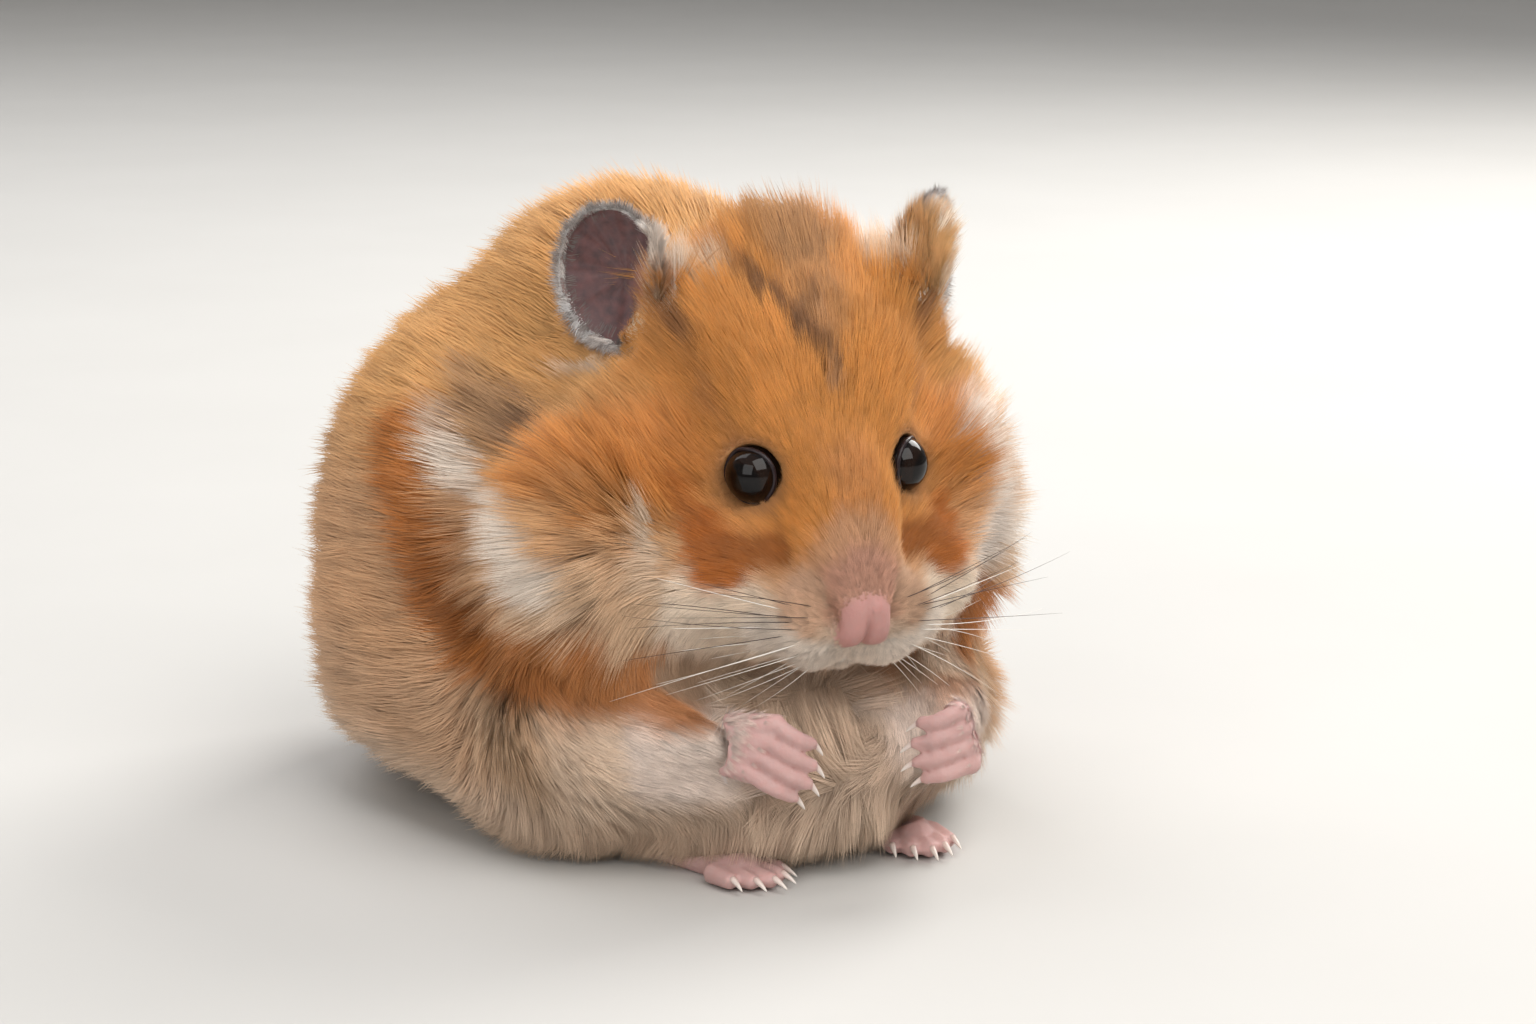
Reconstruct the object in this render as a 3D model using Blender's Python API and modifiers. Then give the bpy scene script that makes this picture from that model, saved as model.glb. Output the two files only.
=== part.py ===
"""Syrian hamster, life size, sitting up on its rump with its forepaws held before its chest.

The trunk faces -Y and the animal's left is +X. The head turns a little to its own right and
looks down. The body is one soft form, made of round masses that are fused and then parted
into its named pieces by thin cuts, each GAP wide. Ears, paws, feet, tail and eyes are added
to it. The sizes are those of the outline out to the tips of the coat.

Lengths are in millimetres, and MM turns them into metres. The last step moves the whole
animal so that the middle of the underside of its box is the origin.
"""
import math

import bmesh
import bpy
from mathutils import Matrix, Vector

MM = 0.001
NAME = "syrian_hamster"
GAP = 0.3                      # the width of each parting cut
SIDES = (("left", 1.0), ("right", -1.0))

# Head: its frame stands midway between the eyeballs, with -Y forward, +X left and +Z up.
EYES_MIDDLE = Vector((1.1, 2.2, 47.7))
HEAD_TURN = math.radians(-12.0)
HEAD_NOD = math.radians(27.0)
HEAD_FRAME = (
    Matrix.Translation(EYES_MIDDLE)
    @ Matrix.Rotation(HEAD_TURN, 4, "Z")
    @ Matrix.Rotation(HEAD_NOD, 4, "X")
)
EYE_OUT = 9.2
EYE_RADIUS = 3.35
EYE_SEGMENTS = 14
EYE_GAZE = Vector((math.sin(math.radians(48)), -math.cos(math.radians(48)), 0.14))
LID_DISH = (3.9, 4.4)          # a hollow that bares the eye: its distance out and its radius

# Round masses: centre, half-sizes and nose-down pitch in degrees. A centre with an x other
# than 0 is made once on each side.
HEAD_MASSES = {
    "skull": ((0, 15, 2), (16.5, 18, 15.5), 0),
    "crown": ((0, 22.5, 9), (13, 12, 12), 0),
    "bridge": ((0, -7, -1.5), (7, 13, 6.5), 36),
    "nose_pad": ((0, -17.1, -8.2), (3.8, 2.9, 4.3), 0),
    "chin": ((0, -8.6, -16.8), (5.2, 6.8, 4.6), 0),
    "jaw": ((0, 2, -11), (14, 14, 10), 0),
    "whisker_pad": ((6.0, -11.2, -13.2), (7.4, 7.4, 6.8), 0),
    "cheek_pad": ((14.5, -1.8, -13.8), (8, 8.6, 8.5), 0),
    "under_eye": ((8, -1, -9), (8, 9, 7.2), 0),
    "brow": ((5.0, 2.5, 4.2), (4.5, 5.5, 3.8), 0),
    "side_face": ((11, 8, -6.5), (10.5, 10, 11), 0),
    "mid_face": ((14.5, 7, -9), (11.5, 10, 12), 0),
    "jowl": ((9, 3, -14), (9, 10, 7.5), 0),
    "temple": ((8.5, 19, 4), (12.3, 12, 13), 0),
    "cheek": ((15, 14, -10.5), (15, 13.5, 14.5), 0),
}
TRUNK_MASSES = {
    "seat": ((0, 47, 22), (42, 43.5, 23), 0),
    "underside": ((0, 47, 12), (41, 43, 13.2), 0),
    "rump": ((0, 49, 33), (40.5, 40, 38), 0),
    "back": ((0, 44, 45.5), (28, 29, 33.5), 0),
    "shoulders": ((0, 27, 39), (28, 17, 23), 0),
    "ruff": ((23.5, 15, 37), (12, 13, 17), 0),
    "nape": ((1, 26, 46), (20, 14, 20), 0),
    "chest": ((0, 20, 26), (24, 18, 17), 0),
    "lap": ((0, 16, 11), (30, 25, 11.8), 0),
    "haunch": ((23, 29, 15), (15, 27, 15.5), 0),
}

# Arms: joints from the shoulder down, each with the coat's radius there.
ARMS = {
    "left": (((19, 19, 36), 13), ((17.5, 10, 19), 8.5), ((16, -1, 17.5), 6.6), ((13.0, -8.3, 17), 4.4)),
    "right": (((-20, 21, 36), 13), ((-27, 17, 19), 9.5), ((-22, 7, 18.2), 7), ((-18.0, -1.0, 18.2), 4.6)),
}
# Forepaws: the wrist, the middle of the knuckles, and the place that the fingertips reach.
HANDS = {
    "left": ((12.8, -9.0, 17.0), (9.5, -14.3, 17.6), (4.4, -12.1, 16.1)),
    "right": ((-17.4, -2.1, 18.2), (-13.9, -7.3, 18.2), (-9.3, -10.3, 15.1)),
}
PALM_RADIUS = 2.2
KNUCKLE_RADIUS = 1.3
WRIST_SPREAD = 0.45            # how wide the hand's bones start, against their knuckles
FINGER_RADIUS = 1.05
FINGERTIP_RADIUS = 0.85
FINGER_REACHES = (0.75, 0.97, 1.05, 0.95)
FINGER_PITCH = 2.2             # from one finger's middle line to the next one's
FINGER_BOW = 1.1               # how far a finger arches between its knuckle and its tip
CLAW_LENGTH = 2.4
CLAW_RADIUS = 0.5

# Hind feet: flat on the floor, heels under the haunches.
HEEL = (16.0, 16.0, 3.0)
TOES = (12.5, 0.5, 1.6)
FOOT_RADIUS = 3.2
TOE_RADIUS = 1.2
TOE_LENGTHS = (3.4, 5.0, 5.6, 5.2, 3.8)
TOE_PITCH = 1.9

# Ears: upright cups, turned outward. The root is the lower end of the cup.
EAR_ROOT = (19.0, 21.3, 3.4)
EAR_AXIS = (0.19, 0.46, 0.87)
EAR_FACINGS = {"left": math.radians(60.0), "right": math.radians(43.0)}
EAR_LENGTH = 17.0
EAR_WIDTH = 13.8
EAR_CUP = 3.6
EAR_TAPER = 0.22               # how much narrower than a full oval the root is
EAR_THICKNESS = 0.9
EAR_POCKET_FRONT = 2.0         # how deep the hollow that it stands in is on its open side

TAIL = (((0, 84, 11), 4.5), ((0, 91, 9), 2.6), ((0, 96, 6.5), 1.8))

# Parting regions, in the order in which they take their share of the body: the frame that
# their ellipsoid stands in, its centre and its half-sizes. The forelegs' regions follow the arms.
HEAD_REGION = (HEAD_FRAME, (0, 3, -3), (33, 27, 26))
NECK_REGION = (HEAD_FRAME, (0, 14, -4), (36, 27, 31))
ARM_START = 0.7                # the share of the upper arm that is left with the trunk
ARM_MARGIN = 1.6               # how far a foreleg's region reaches outside the arm
HINDLEG_REGION = ((26, 30, 15), (17, 28, 19))

BODY_VOXEL = 0.8
TRUNK_SMOOTHING = 60
BODY_SMOOTHING = 22
BODY_TRIANGLES = 2240
REGION_TRIANGLES = 120
PAW_VOXEL = 0.35
PAW_SMOOTHING = 2
FOREPAW_TRIANGLES = 350
HINDFOOT_TRIANGLES = 250
TAIL_TRIANGLES = 100


def material(name, colour, roughness):
    """A plain surface."""
    made = bpy.data.materials.new(name)
    made.use_nodes = True
    shader = made.node_tree.nodes["Principled BSDF"]
    shader.inputs["Base Color"].default_value = (*colour, 1.0)
    shader.inputs["Roughness"].default_value = roughness
    shader.inputs["Metallic"].default_value = 0.0
    return made


def add_object(name, mesh, collection):
    made = bpy.data.objects.new(name, mesh)
    collection.objects.link(made)
    return made


def add_helper(name, mesh, collection):
    """A cutter or a form that only shapes other pieces."""
    made = add_object(name, mesh, collection)
    made.hide_render = True
    made.display_type = "WIRE"
    return made


def baked(source, name):
    """The mesh that an object's modifiers make, in place of the object."""
    depsgraph = bpy.context.evaluated_depsgraph_get()
    mesh = bpy.data.meshes.new_from_object(source.evaluated_get(depsgraph))
    mesh.name = name
    bpy.data.objects.remove(source)
    return mesh


def unit_ball(segments):
    """A ball of radius 1, made once for each number of segments."""
    name = f"unit_ball_{segments}"
    mesh = bpy.data.meshes.get(name)
    if mesh is None:
        bm = bmesh.new()
        bmesh.ops.create_uvsphere(bm, u_segments=segments, v_segments=segments // 2, radius=1.0)
        mesh = finished(bm, name)
    return mesh


def add_ball(bm, frame, centre, half_sizes, pitch=0.0, segments=32):
    """An ellipsoid, given in millimetres in the named frame."""
    place = (
        Matrix.Scale(MM, 4)
        @ frame
        @ Matrix.Translation(Vector(centre))
        @ Matrix.Rotation(math.radians(pitch), 4, "X")
        @ Matrix.Diagonal((*half_sizes, 1.0))
    )
    ball = unit_ball(segments).copy()
    ball.transform(place)
    bm.from_mesh(ball)
    bpy.data.meshes.remove(ball)


def add_masses(bm, frame, masses):
    """Each mass of a table, on both sides where it stands off the middle."""
    for centre, half_sizes, pitch in masses.values():
        for _, side in SIDES[: 2 if centre[0] else 1]:
            mirrored = (centre[0] * side, centre[1], centre[2])
            add_ball(bm, frame, mirrored, half_sizes, pitch)


def add_chain(bm, joints, segments=16):
    """A limb: balls set close together along straight stretches between its joints."""
    for (start, start_radius), (end, end_radius) in zip(joints, joints[1:]):
        start, end = Vector(start), Vector(end)
        steps = max(1, math.ceil((end - start).length / (0.4 * min(start_radius, end_radius))))
        for step in range(steps + 1):
            share = step / steps
            radius = start_radius + (end_radius - start_radius) * share
            add_ball(bm, Matrix.Identity(4), start.lerp(end, share), (radius,) * 3, 0.0, segments)


def finished(bm, name):
    mesh = bpy.data.meshes.new(name)
    bm.to_mesh(mesh)
    bm.free()
    return mesh


def fused(name, bm, voxel, smoothing, collection, triangles=None):
    """One closed form from overlapping ones, softened where they meet."""
    form = add_helper(name, finished(bm, name), collection)
    remesh = form.modifiers.new("fuse", "REMESH")
    remesh.mode = "VOXEL"
    remesh.voxel_size = voxel * MM
    soften = form.modifiers.new("soften", "SMOOTH")
    soften.factor = 0.5
    soften.iterations = smoothing
    form = add_helper(name, baked(form, name), collection)
    if triangles:
        thin = form.modifiers.new("thin", "DECIMATE")
        thin.ratio = triangles / (2 * len(form.data.polygons))
        form = add_helper(name, baked(form, name), collection)
    return form


def ball_cutter(name, frame, centre, half_sizes, collection):
    bm = bmesh.new()
    add_ball(bm, frame, centre, half_sizes, 0.0, 16)
    return add_helper(name, finished(bm, name), collection)


def boolean(target, cutter, operation):
    step = target.modifiers.new(cutter.name, "BOOLEAN")
    step.object = cutter
    step.operation = operation
    step.solver = "EXACT"


def floor_cutter(collection):
    """A block whose top is the floor."""
    bm = bmesh.new()
    bmesh.ops.create_cube(
        bm, size=1.0, matrix=Matrix.Translation((0, 0, -0.05)) @ Matrix.Diagonal((0.4, 0.4, 0.1, 1.0))
    )
    return add_helper("cut_floor", finished(bm, "cut_floor"), collection)


def grown(source, name, grow, collection):
    """A form's copy, swollen all over by the given width."""
    copy = add_helper(name, source.data.copy(), collection)
    swell = copy.modifiers.new("swell", "DISPLACE")
    swell.strength = grow * MM
    swell.mid_level = 0.0
    return copy


def whole_body(floor, cutters):
    """Head, trunk, arms and haunches as one closed form, the trunk softened the most."""
    bm = bmesh.new()
    add_masses(bm, Matrix.Identity(4), TRUNK_MASSES)
    trunk = fused("form_trunk", bm, BODY_VOXEL, TRUNK_SMOOTHING, cutters)
    bm = bmesh.new()
    bm.from_mesh(trunk.data)
    add_masses(bm, HEAD_FRAME, HEAD_MASSES)
    for joints in ARMS.values():
        add_chain(bm, joints)
    body = fused("form_body", bm, BODY_VOXEL, BODY_SMOOTHING, cutters, BODY_TRIANGLES)
    boolean(body, floor, "DIFFERENCE")
    for name, side in SIDES:
        boolean(body, ear_pocket(name, side, cutters), "DIFFERENCE")
    return add_helper("form_body", baked(body, "form_body"), cutters)


def arm_region(name, side_name, cutters):
    """The space round one arm, as a coarse closed form."""
    (shoulder, wide), (elbow, narrow), *rest = ARMS[side_name]
    start = Vector(shoulder).lerp(Vector(elbow), ARM_START)
    joints = [(start, wide + (narrow - wide) * ARM_START), (elbow, narrow), *rest]
    bm = bmesh.new()
    add_chain(bm, [(joint, radius + ARM_MARGIN) for joint, radius in joints])
    return fused(name, bm, 2 * BODY_VOXEL, PAW_SMOOTHING, cutters, REGION_TRIANGLES)


def parting_regions(cutters):
    """Each piece's name and region, in the order in which they are cut off."""
    regions = {
        "head": ball_cutter("region_head", *HEAD_REGION, cutters),
        "neck": ball_cutter("region_neck", *NECK_REGION, cutters),
    }
    for name, _ in SIDES:
        regions["foreleg_" + name] = arm_region("region_foreleg_" + name, name, cutters)
    for name, side in SIDES:
        (x, y, z), half_sizes = HINDLEG_REGION
        regions["hindleg_" + name] = ball_cutter(
            "region_hindleg_" + name, Matrix.Identity(4), (side * x, y, z), half_sizes, cutters
        )
    return regions


def part_body(body, parts, cutters):
    """The body's named pieces: each region's share, then the trunk, which is what is left."""
    taken = []
    for name, region in parting_regions(cutters).items():
        piece = add_object(name, body.data.copy(), parts)
        boolean(piece, region, "INTERSECT")
        for other in taken:
            boolean(piece, other, "DIFFERENCE")
        taken.append(grown(region, "around_" + name, GAP, cutters))
    trunk = add_object("trunk", body.data.copy(), parts)
    for other in taken:
        boolean(trunk, other, "DIFFERENCE")


def add_eyes(parts, cutters):
    """Eyeballs, the sockets that hold them, and a shallow hollow that bares each one."""
    head = parts.objects["head"]
    for name, side in SIDES:
        centre = Vector((side * EYE_OUT, 0.0, 0.0))
        gaze = Vector((side * EYE_GAZE.x, EYE_GAZE.y, EYE_GAZE.z)).normalized()
        bm = bmesh.new()
        add_ball(bm, HEAD_FRAME, centre, (EYE_RADIUS,) * 3, 0.0, EYE_SEGMENTS)
        add_object("eye_" + name, finished(bm, "eye_" + name), parts)
        out, radius = LID_DISH
        hollows = (("socket_", centre, EYE_RADIUS + GAP), ("dish_", centre + gaze * out, radius))
        for kind, middle, size in hollows:
            cutter = ball_cutter(kind + name, HEAD_FRAME, middle, (size,) * 3, cutters)
            boolean(head, cutter, "DIFFERENCE")


def ear_frame(name, side):
    """The ear's own axes: Z along it, X out of its hollow side."""
    along = Vector((side * EAR_AXIS[0], EAR_AXIS[1], EAR_AXIS[2])).normalized()
    turn = EAR_FACINGS[name]
    facing = Vector((side * math.sin(turn), -math.cos(turn), 0.0))
    across = along.cross(facing).normalized()
    facing = across.cross(along).normalized()
    axes = Matrix((facing, across, along)).transposed().to_4x4()
    return Matrix.Translation(Vector((side * EAR_ROOT[0], EAR_ROOT[1], EAR_ROOT[2]))) @ axes


def add_ears(parts):
    """Each ear is half of a flattened ball, hollow side out, narrower towards its root."""
    for name, side in SIDES:
        bm = bmesh.new()
        bmesh.ops.create_uvsphere(bm, u_segments=16, v_segments=8, radius=1.0)
        bmesh.ops.delete(bm, geom=[v for v in bm.verts if v.co.z > 0.02], context="VERTS")
        for vert in bm.verts:
            along, across, depth = vert.co
            taper = 1.0 - EAR_TAPER * max(0.0, -along)
            height = EAR_LENGTH * (1.0 + along) / 2
            vert.co = Vector((depth * EAR_CUP, across * taper * EAR_WIDTH / 2, height))
        bm.transform(Matrix.Scale(MM, 4) @ HEAD_FRAME @ ear_frame(name, side))
        ear = add_object("ear_" + name, finished(bm, "ear_" + name), parts)
        shell = ear.modifiers.new("shell", "SOLIDIFY")
        shell.thickness = EAR_THICKNESS * MM
        shell.offset = 0.0


def ear_pocket(name, side, cutters):
    """The hollow in the coat that an ear stands in, shallow on the ear's open side."""
    room = EAR_THICKNESS / 2 + GAP
    bm = bmesh.new()
    bmesh.ops.create_uvsphere(bm, u_segments=16, v_segments=8, radius=1.0)
    for vert in bm.verts:
        depth = EAR_POCKET_FRONT if vert.co.x > 0.0 else EAR_CUP + room
        vert.co.x *= depth
        vert.co.y *= EAR_WIDTH / 2 + room
        vert.co.z = vert.co.z * (EAR_LENGTH / 2 + room) + EAR_LENGTH / 2
    bm.transform(Matrix.Scale(MM, 4) @ HEAD_FRAME @ ear_frame(name, side))
    return add_helper("pocket_" + name, finished(bm, "pocket_" + name), cutters)


def finger_joints(knuckle, tip, outward):
    """A finger's joints: three bones that arch outward between the knuckle and the tip."""
    joints = []
    for joint in range(4):
        share = joint / 3
        arch = outward * (FINGER_BOW * math.sin(math.pi * share))
        radius = FINGER_RADIUS + (FINGERTIP_RADIUS - FINGER_RADIUS) * share
        joints.append((knuckle.lerp(tip, share) + arch, radius))
    return joints


def add_claw(bm, tip, direction, bend):
    """A small cone, sunk a little into the fingertip."""
    along = (direction + bend).normalized()
    turn = along.to_track_quat("Z", "Y").to_matrix().to_4x4()
    middle = tip + along * (CLAW_LENGTH / 2)
    bmesh.ops.create_cone(
        bm,
        cap_ends=True,
        segments=6,
        radius1=CLAW_RADIUS * MM,
        radius2=0.0,
        depth=CLAW_LENGTH * MM,
        matrix=Matrix.Translation(middle * MM) @ turn,
    )


def add_extremity(name, bm, triangles, claws, body_around, floor, parts, cutters):
    """A fused paw or foot, with its claws joined on, trimmed where it enters the coat."""
    form = fused("form_" + name, bm, PAW_VOXEL, PAW_SMOOTHING, cutters, triangles)
    piece = add_object(name, form.data.copy(), parts)
    for number, (tip, direction, bend) in enumerate(claws, start=1):
        claw = bmesh.new()
        add_claw(claw, tip, direction, bend)
        label = f"{name}_claw_{number}"
        boolean(piece, add_helper(label, finished(claw, label), cutters), "UNION")
    boolean(piece, body_around, "DIFFERENCE")
    if floor:
        boolean(piece, floor, "DIFFERENCE")


def add_forepaws(body_around, parts, cutters):
    """Hands before the chest: four fingers one above the other, curled as round something."""
    for name, _ in SIDES:
        wrist, knuckles, tips = (Vector(place) for place in HANDS[name])
        heading = (tips - knuckles).normalized()
        outward = Vector((heading.y, -heading.x, 0.0)).normalized()
        if outward.y > 0.0:
            outward.negate()
        across = heading.cross(outward)
        if across.z < 0.0:
            across.negate()
        bm = bmesh.new()
        claws = []
        for number, reach in enumerate(FINGER_REACHES):
            place = across * ((1.5 - number) * FINGER_PITCH)
            knuckle = knuckles + place
            tip = knuckle + (tips - knuckles) * reach
            add_chain(bm, ((wrist + place * WRIST_SPREAD, PALM_RADIUS), (knuckle, KNUCKLE_RADIUS)))
            joints = finger_joints(knuckle, tip, outward)
            add_chain(bm, joints)
            claws.append((tip, (tip - joints[-2][0]).normalized(), across * -0.3))
        add_extremity(
            "forepaw_" + name, bm, FOREPAW_TRIANGLES, claws, body_around, None, parts, cutters
        )


def add_hindfeet(body_around, floor, parts, cutters):
    """Long feet flat on the floor, five toes forward."""
    for name, side in SIDES:
        heel = Vector((side * HEEL[0], HEEL[1], HEEL[2]))
        ball = Vector((side * TOES[0], TOES[1], TOES[2]))
        heading = Vector((ball.x - heel.x, ball.y - heel.y, 0.0)).normalized()
        across = Vector((0, 0, 1)).cross(heading) * -side
        bm = bmesh.new()
        add_chain(bm, ((heel, FOOT_RADIUS), (ball + heading * 1.0, FOOT_RADIUS * 0.72)))
        claws = []
        for number, length in enumerate(TOE_LENGTHS):
            place = (number - 2.0) * TOE_PITCH
            spread = (heading + across * (0.1 * (number - 2.0))).normalized()
            knuckle = ball + across * place * 0.8 - heading * (0.4 * abs(number - 2.0))
            knuckle.z = TOE_RADIUS * 1.1
            tip = knuckle + spread * length
            add_chain(bm, ((knuckle, TOE_RADIUS * 1.15), (tip, TOE_RADIUS * 0.9)))
            claws.append((tip + spread * 0.5 + Vector((0, 0, 0.2)), spread, Vector((0, 0, -0.25))))
        add_extremity(
            "hindfoot_" + name, bm, HINDFOOT_TRIANGLES, claws, body_around, floor, parts, cutters
        )


def add_tail(body_around, parts, cutters):
    bm = bmesh.new()
    add_chain(bm, TAIL)
    form = fused("form_tail", bm, PAW_VOXEL, PAW_SMOOTHING, cutters, TAIL_TRIANGLES)
    tail = add_object("tail", form.data.copy(), parts)
    boolean(tail, body_around, "DIFFERENCE")


def colour_parts(parts):
    """The coat's main colours, piece by piece."""
    golden = material("golden_coat", (0.50, 0.22, 0.06), 0.85)
    sandy = material("sandy_coat", (0.48, 0.29, 0.14), 0.85)
    ear_grey = material("ear_grey", (0.16, 0.12, 0.10), 0.8)
    bare_pink = material("bare_pink", (0.62, 0.36, 0.31), 0.6)
    eye_black = material("eye_black", (0.01, 0.008, 0.008), 0.08)
    by_piece = {"head": golden, "neck": golden, "trunk": sandy, "tail": bare_pink}
    by_kind = {
        "ear": ear_grey,
        "eye": eye_black,
        "foreleg": golden,
        "hindleg": sandy,
        "forepaw": bare_pink,
        "hindfoot": bare_pink,
    }
    for piece in parts.objects:
        kind = piece.name.split("_")[0]
        surface = by_piece.get(piece.name) or by_kind[kind]
        piece.data.materials.clear()
        piece.data.materials.append(surface)


def settle(parts, cutters):
    """Bake every piece, and move them so that the middle of their box's underside is the origin."""
    meshes = {}
    for piece in list(parts.objects):
        name = piece.name
        meshes[name] = baked(piece, name)
    for helper in list(cutters.objects):
        bpy.data.objects.remove(helper)
    corners = [vert.co for mesh in meshes.values() for vert in mesh.vertices]
    low = Vector(min(corner[axis] for corner in corners) for axis in range(3))
    high = Vector(max(corner[axis] for corner in corners) for axis in range(3))
    shift = Vector(((low.x + high.x) / 2, (low.y + high.y) / 2, low.z))
    for name, mesh in meshes.items():
        mesh.transform(Matrix.Translation(-shift))
        add_object(name, mesh, parts)


def main():
    for old in list(bpy.data.objects):
        bpy.data.objects.remove(old, do_unlink=True)
    parts = bpy.data.collections.new(NAME)
    cutters = bpy.data.collections.new("cutters")
    for collection in (parts, cutters):
        bpy.context.scene.collection.children.link(collection)

    floor = floor_cutter(cutters)
    body = whole_body(floor, cutters)
    body_around = grown(body, "around_body", GAP, cutters)
    part_body(body, parts, cutters)
    add_eyes(parts, cutters)
    add_ears(parts)
    add_forepaws(body_around, parts, cutters)
    add_hindfeet(body_around, floor, parts, cutters)
    add_tail(body_around, parts, cutters)
    settle(parts, cutters)
    colour_parts(parts)


main()
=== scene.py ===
"""Syrian hamster, life size, sitting up with its forepaws held before its chest.

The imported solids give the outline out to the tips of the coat. Here one skin is drawn in from
that outline by the depth of the coat, the coat grows out of it as small locks of hair, and
the eyes, lids, nose, ears, paws, claws and whiskers are finished piece by piece.

Lengths are worked in millimetres and turned into metres by MM. The head has its own frame,
midway between the eyes: +X towards the animal's left, -Y forward, +Z up through the crown.
"""
import math

import bmesh
import bpy
import numpy as np
from mathutils import Matrix, Vector
from mathutils.bvhtree import BVHTree


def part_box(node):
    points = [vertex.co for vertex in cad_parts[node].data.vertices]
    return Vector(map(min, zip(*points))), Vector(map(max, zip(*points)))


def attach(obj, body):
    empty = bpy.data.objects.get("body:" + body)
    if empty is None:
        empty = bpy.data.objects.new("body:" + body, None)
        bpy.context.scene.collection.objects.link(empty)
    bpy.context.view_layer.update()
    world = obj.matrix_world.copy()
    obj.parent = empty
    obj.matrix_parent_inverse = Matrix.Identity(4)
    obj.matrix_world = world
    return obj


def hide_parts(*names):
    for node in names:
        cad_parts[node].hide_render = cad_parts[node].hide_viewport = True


MM = 0.001

HEAD_TURN = math.radians(-12.0)
HEAD_NOD = math.radians(27.0)
EYE_OUT = 9.2
EYE_RADIUS = 3.35
EYE_GAZE = (math.sin(math.radians(48)), -math.cos(math.radians(48)), 0.14)
EAR_ROOT = (19.0, 21.3, 3.4)
EAR_AXIS = (0.19, 0.46, 0.87)
EAR_FACINGS = {"left": math.radians(51.0), "right": math.radians(43.0)}
# The tuft over each ear's inner edge: how far from the ear's middle it begins, how long its hair is
# and how far it lifts, its paint below and above, and the shares of the ear's length between
# which the upper paint takes over.
EAR_TUFTS = {
    "left": (1.2, 5.6, 32.0, (0.72, 0.430, 0.200), (0.52, 0.420, 0.360), (0.66, 0.92)),
    "right": (4.4, 4.4, 22.0, (0.56, 0.260, 0.090), (0.78, 0.680, 0.600), (0.42, 0.60)),
}
EAR_LENGTH = 17.0
EAR_WIDTH = 15.2
EAR_CUP = 3.6
EAR_TAPER = 0.05
EAR_WALL = 0.42
# Mounds that seat the ear on the head, in the ear's own frame: middle and half-sizes.
EAR_MOUNDS = (
    ((-4.6, -0.8, 2.2), (3.6, 6.4, 5.2)),
    ((-0.8, -1.4, -1.6), (3.6, 5.8, 3.0)),
)
NOSE = (0.0, -19.7, -8.3)
LIP_CORNER = (14.0, -10.0, -14.5)
LID_WIDTH = 0.50
LID_HEIGHT = 0.26
CLAW_LENGTH = 2.3
CLAW_RADIUS = 0.40
CLAW_TIP_RADIUS = 0.04
WHISKER_RADIUS = 0.048
WHISKER_TIP_RADIUS = 0.009

# The outline is grown by the margin before it is fused, and drawn in again by as much, in steps.
OUTLINE_MARGIN = 0.25
DRAWING_STEPS = 5
BODY_VOXEL = 0.7
PAW_VOXEL = 0.24

# Places on the head, in its frame: middle, half-sizes, and the shares of these where a change is
# whole and where it ends. Places off the middle stand for both sides. The tables give the
# coat's depth at such places, and the hair's lift in degrees.
CHEEK = ((31, 14, -9), (9, 16, 15), 0.6, 1.2)
HEAD_DEPTHS = (
    (3.2, (0, 13, 0), (27, 30, 25), 0.85, 1.2),
    (2.0, (0, 3, 3), (15, 22, 18), 0.8, 1.25),
    (1.0, (0, -6, -6), (15, 15, 17), 0.75, 1.25),
    (1.2, LIP_CORNER, (7, 7, 8), 0.7, 1.3),
    (0.5, (0, -15, -11), (10, 8, 11), 0.7, 1.2),
    (1.4, EAR_ROOT, (9, 9, 8), 0.6, 1.2),
    (0.05, NOSE, (4.6, 3.6, 5.0), 0.7, 1.2),
)
HEAD_LIFTS = (
    (20.0, (0, 8, 0), (24, 26, 22), 0.8, 1.2),
    (17.0, (0, -6, -4), (14, 16, 15), 0.8, 1.2),
    (32.0, *CHEEK),
)
# Swellings and hollows of the nose, its slits and the lips: height, middle and widths.
NOSE_SHAPES = (
    (0.75, (1.8, -19.6, -9.6), (1.5, 9, 2.4)),
    (0.35, (1.3, -19.4, -6.4), (1.8, 9, 1.8)),
    (-0.50, (0, -19.6, -9.4), (0.40, 9, 3.2)),
    (-1.00, (3.5, -18.0, -8.8), (0.55, 9, 1.3)),
    (-0.60, (3.9, -17.2, -7.2), (0.50, 9, 0.8)),
    (0.45, (6.0, -17, -11.5), (3.0, 9, 3.0)),
)
# The mouth's line: how far out, and how high.
MOUTH_LINE = ((0.0, 2.5, 5.0, 7.5, 10.0), (-16.4, -17.6, -18.4, -18.4, -17.6))
# Half a lock's width for the length of its hair.
LOCK_SPREADS = ((0.5, 1.5, 3.0, 6.0, 10.0), (0.17, 0.28, 0.44, 0.72, 0.95))
LOCKS = 70500

SIDES = (("left", 1.0), ("right", -1.0))
BODY_NODES = (
    "head", "neck", "trunk", "foreleg_left", "foreleg_right", "hindleg_left", "hindleg_right"
)
PAW_NODES = ("forepaw_left", "forepaw_right", "hindfoot_left", "hindfoot_right", "tail")
EAR_NODES = ("ear_left", "ear_right")
# The coat's pieces, from the nose to the rump, and the kind of lock that each is grown from.
SLICES = (
    ("coat_muzzle", "sleek"),
    ("coat_face", "sleek"),
    ("coat_cheeks", "sleek"),
    ("coat_crown", "sleek"),
    ("coat_ruff", "tufted"),
    ("coat_shoulders", "tufted"),
    ("coat_flanks", "tufted"),
    ("coat_back", "tufted"),
    ("coat_haunches", "tufted"),
    ("coat_rump", "tufted"),
)

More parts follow.
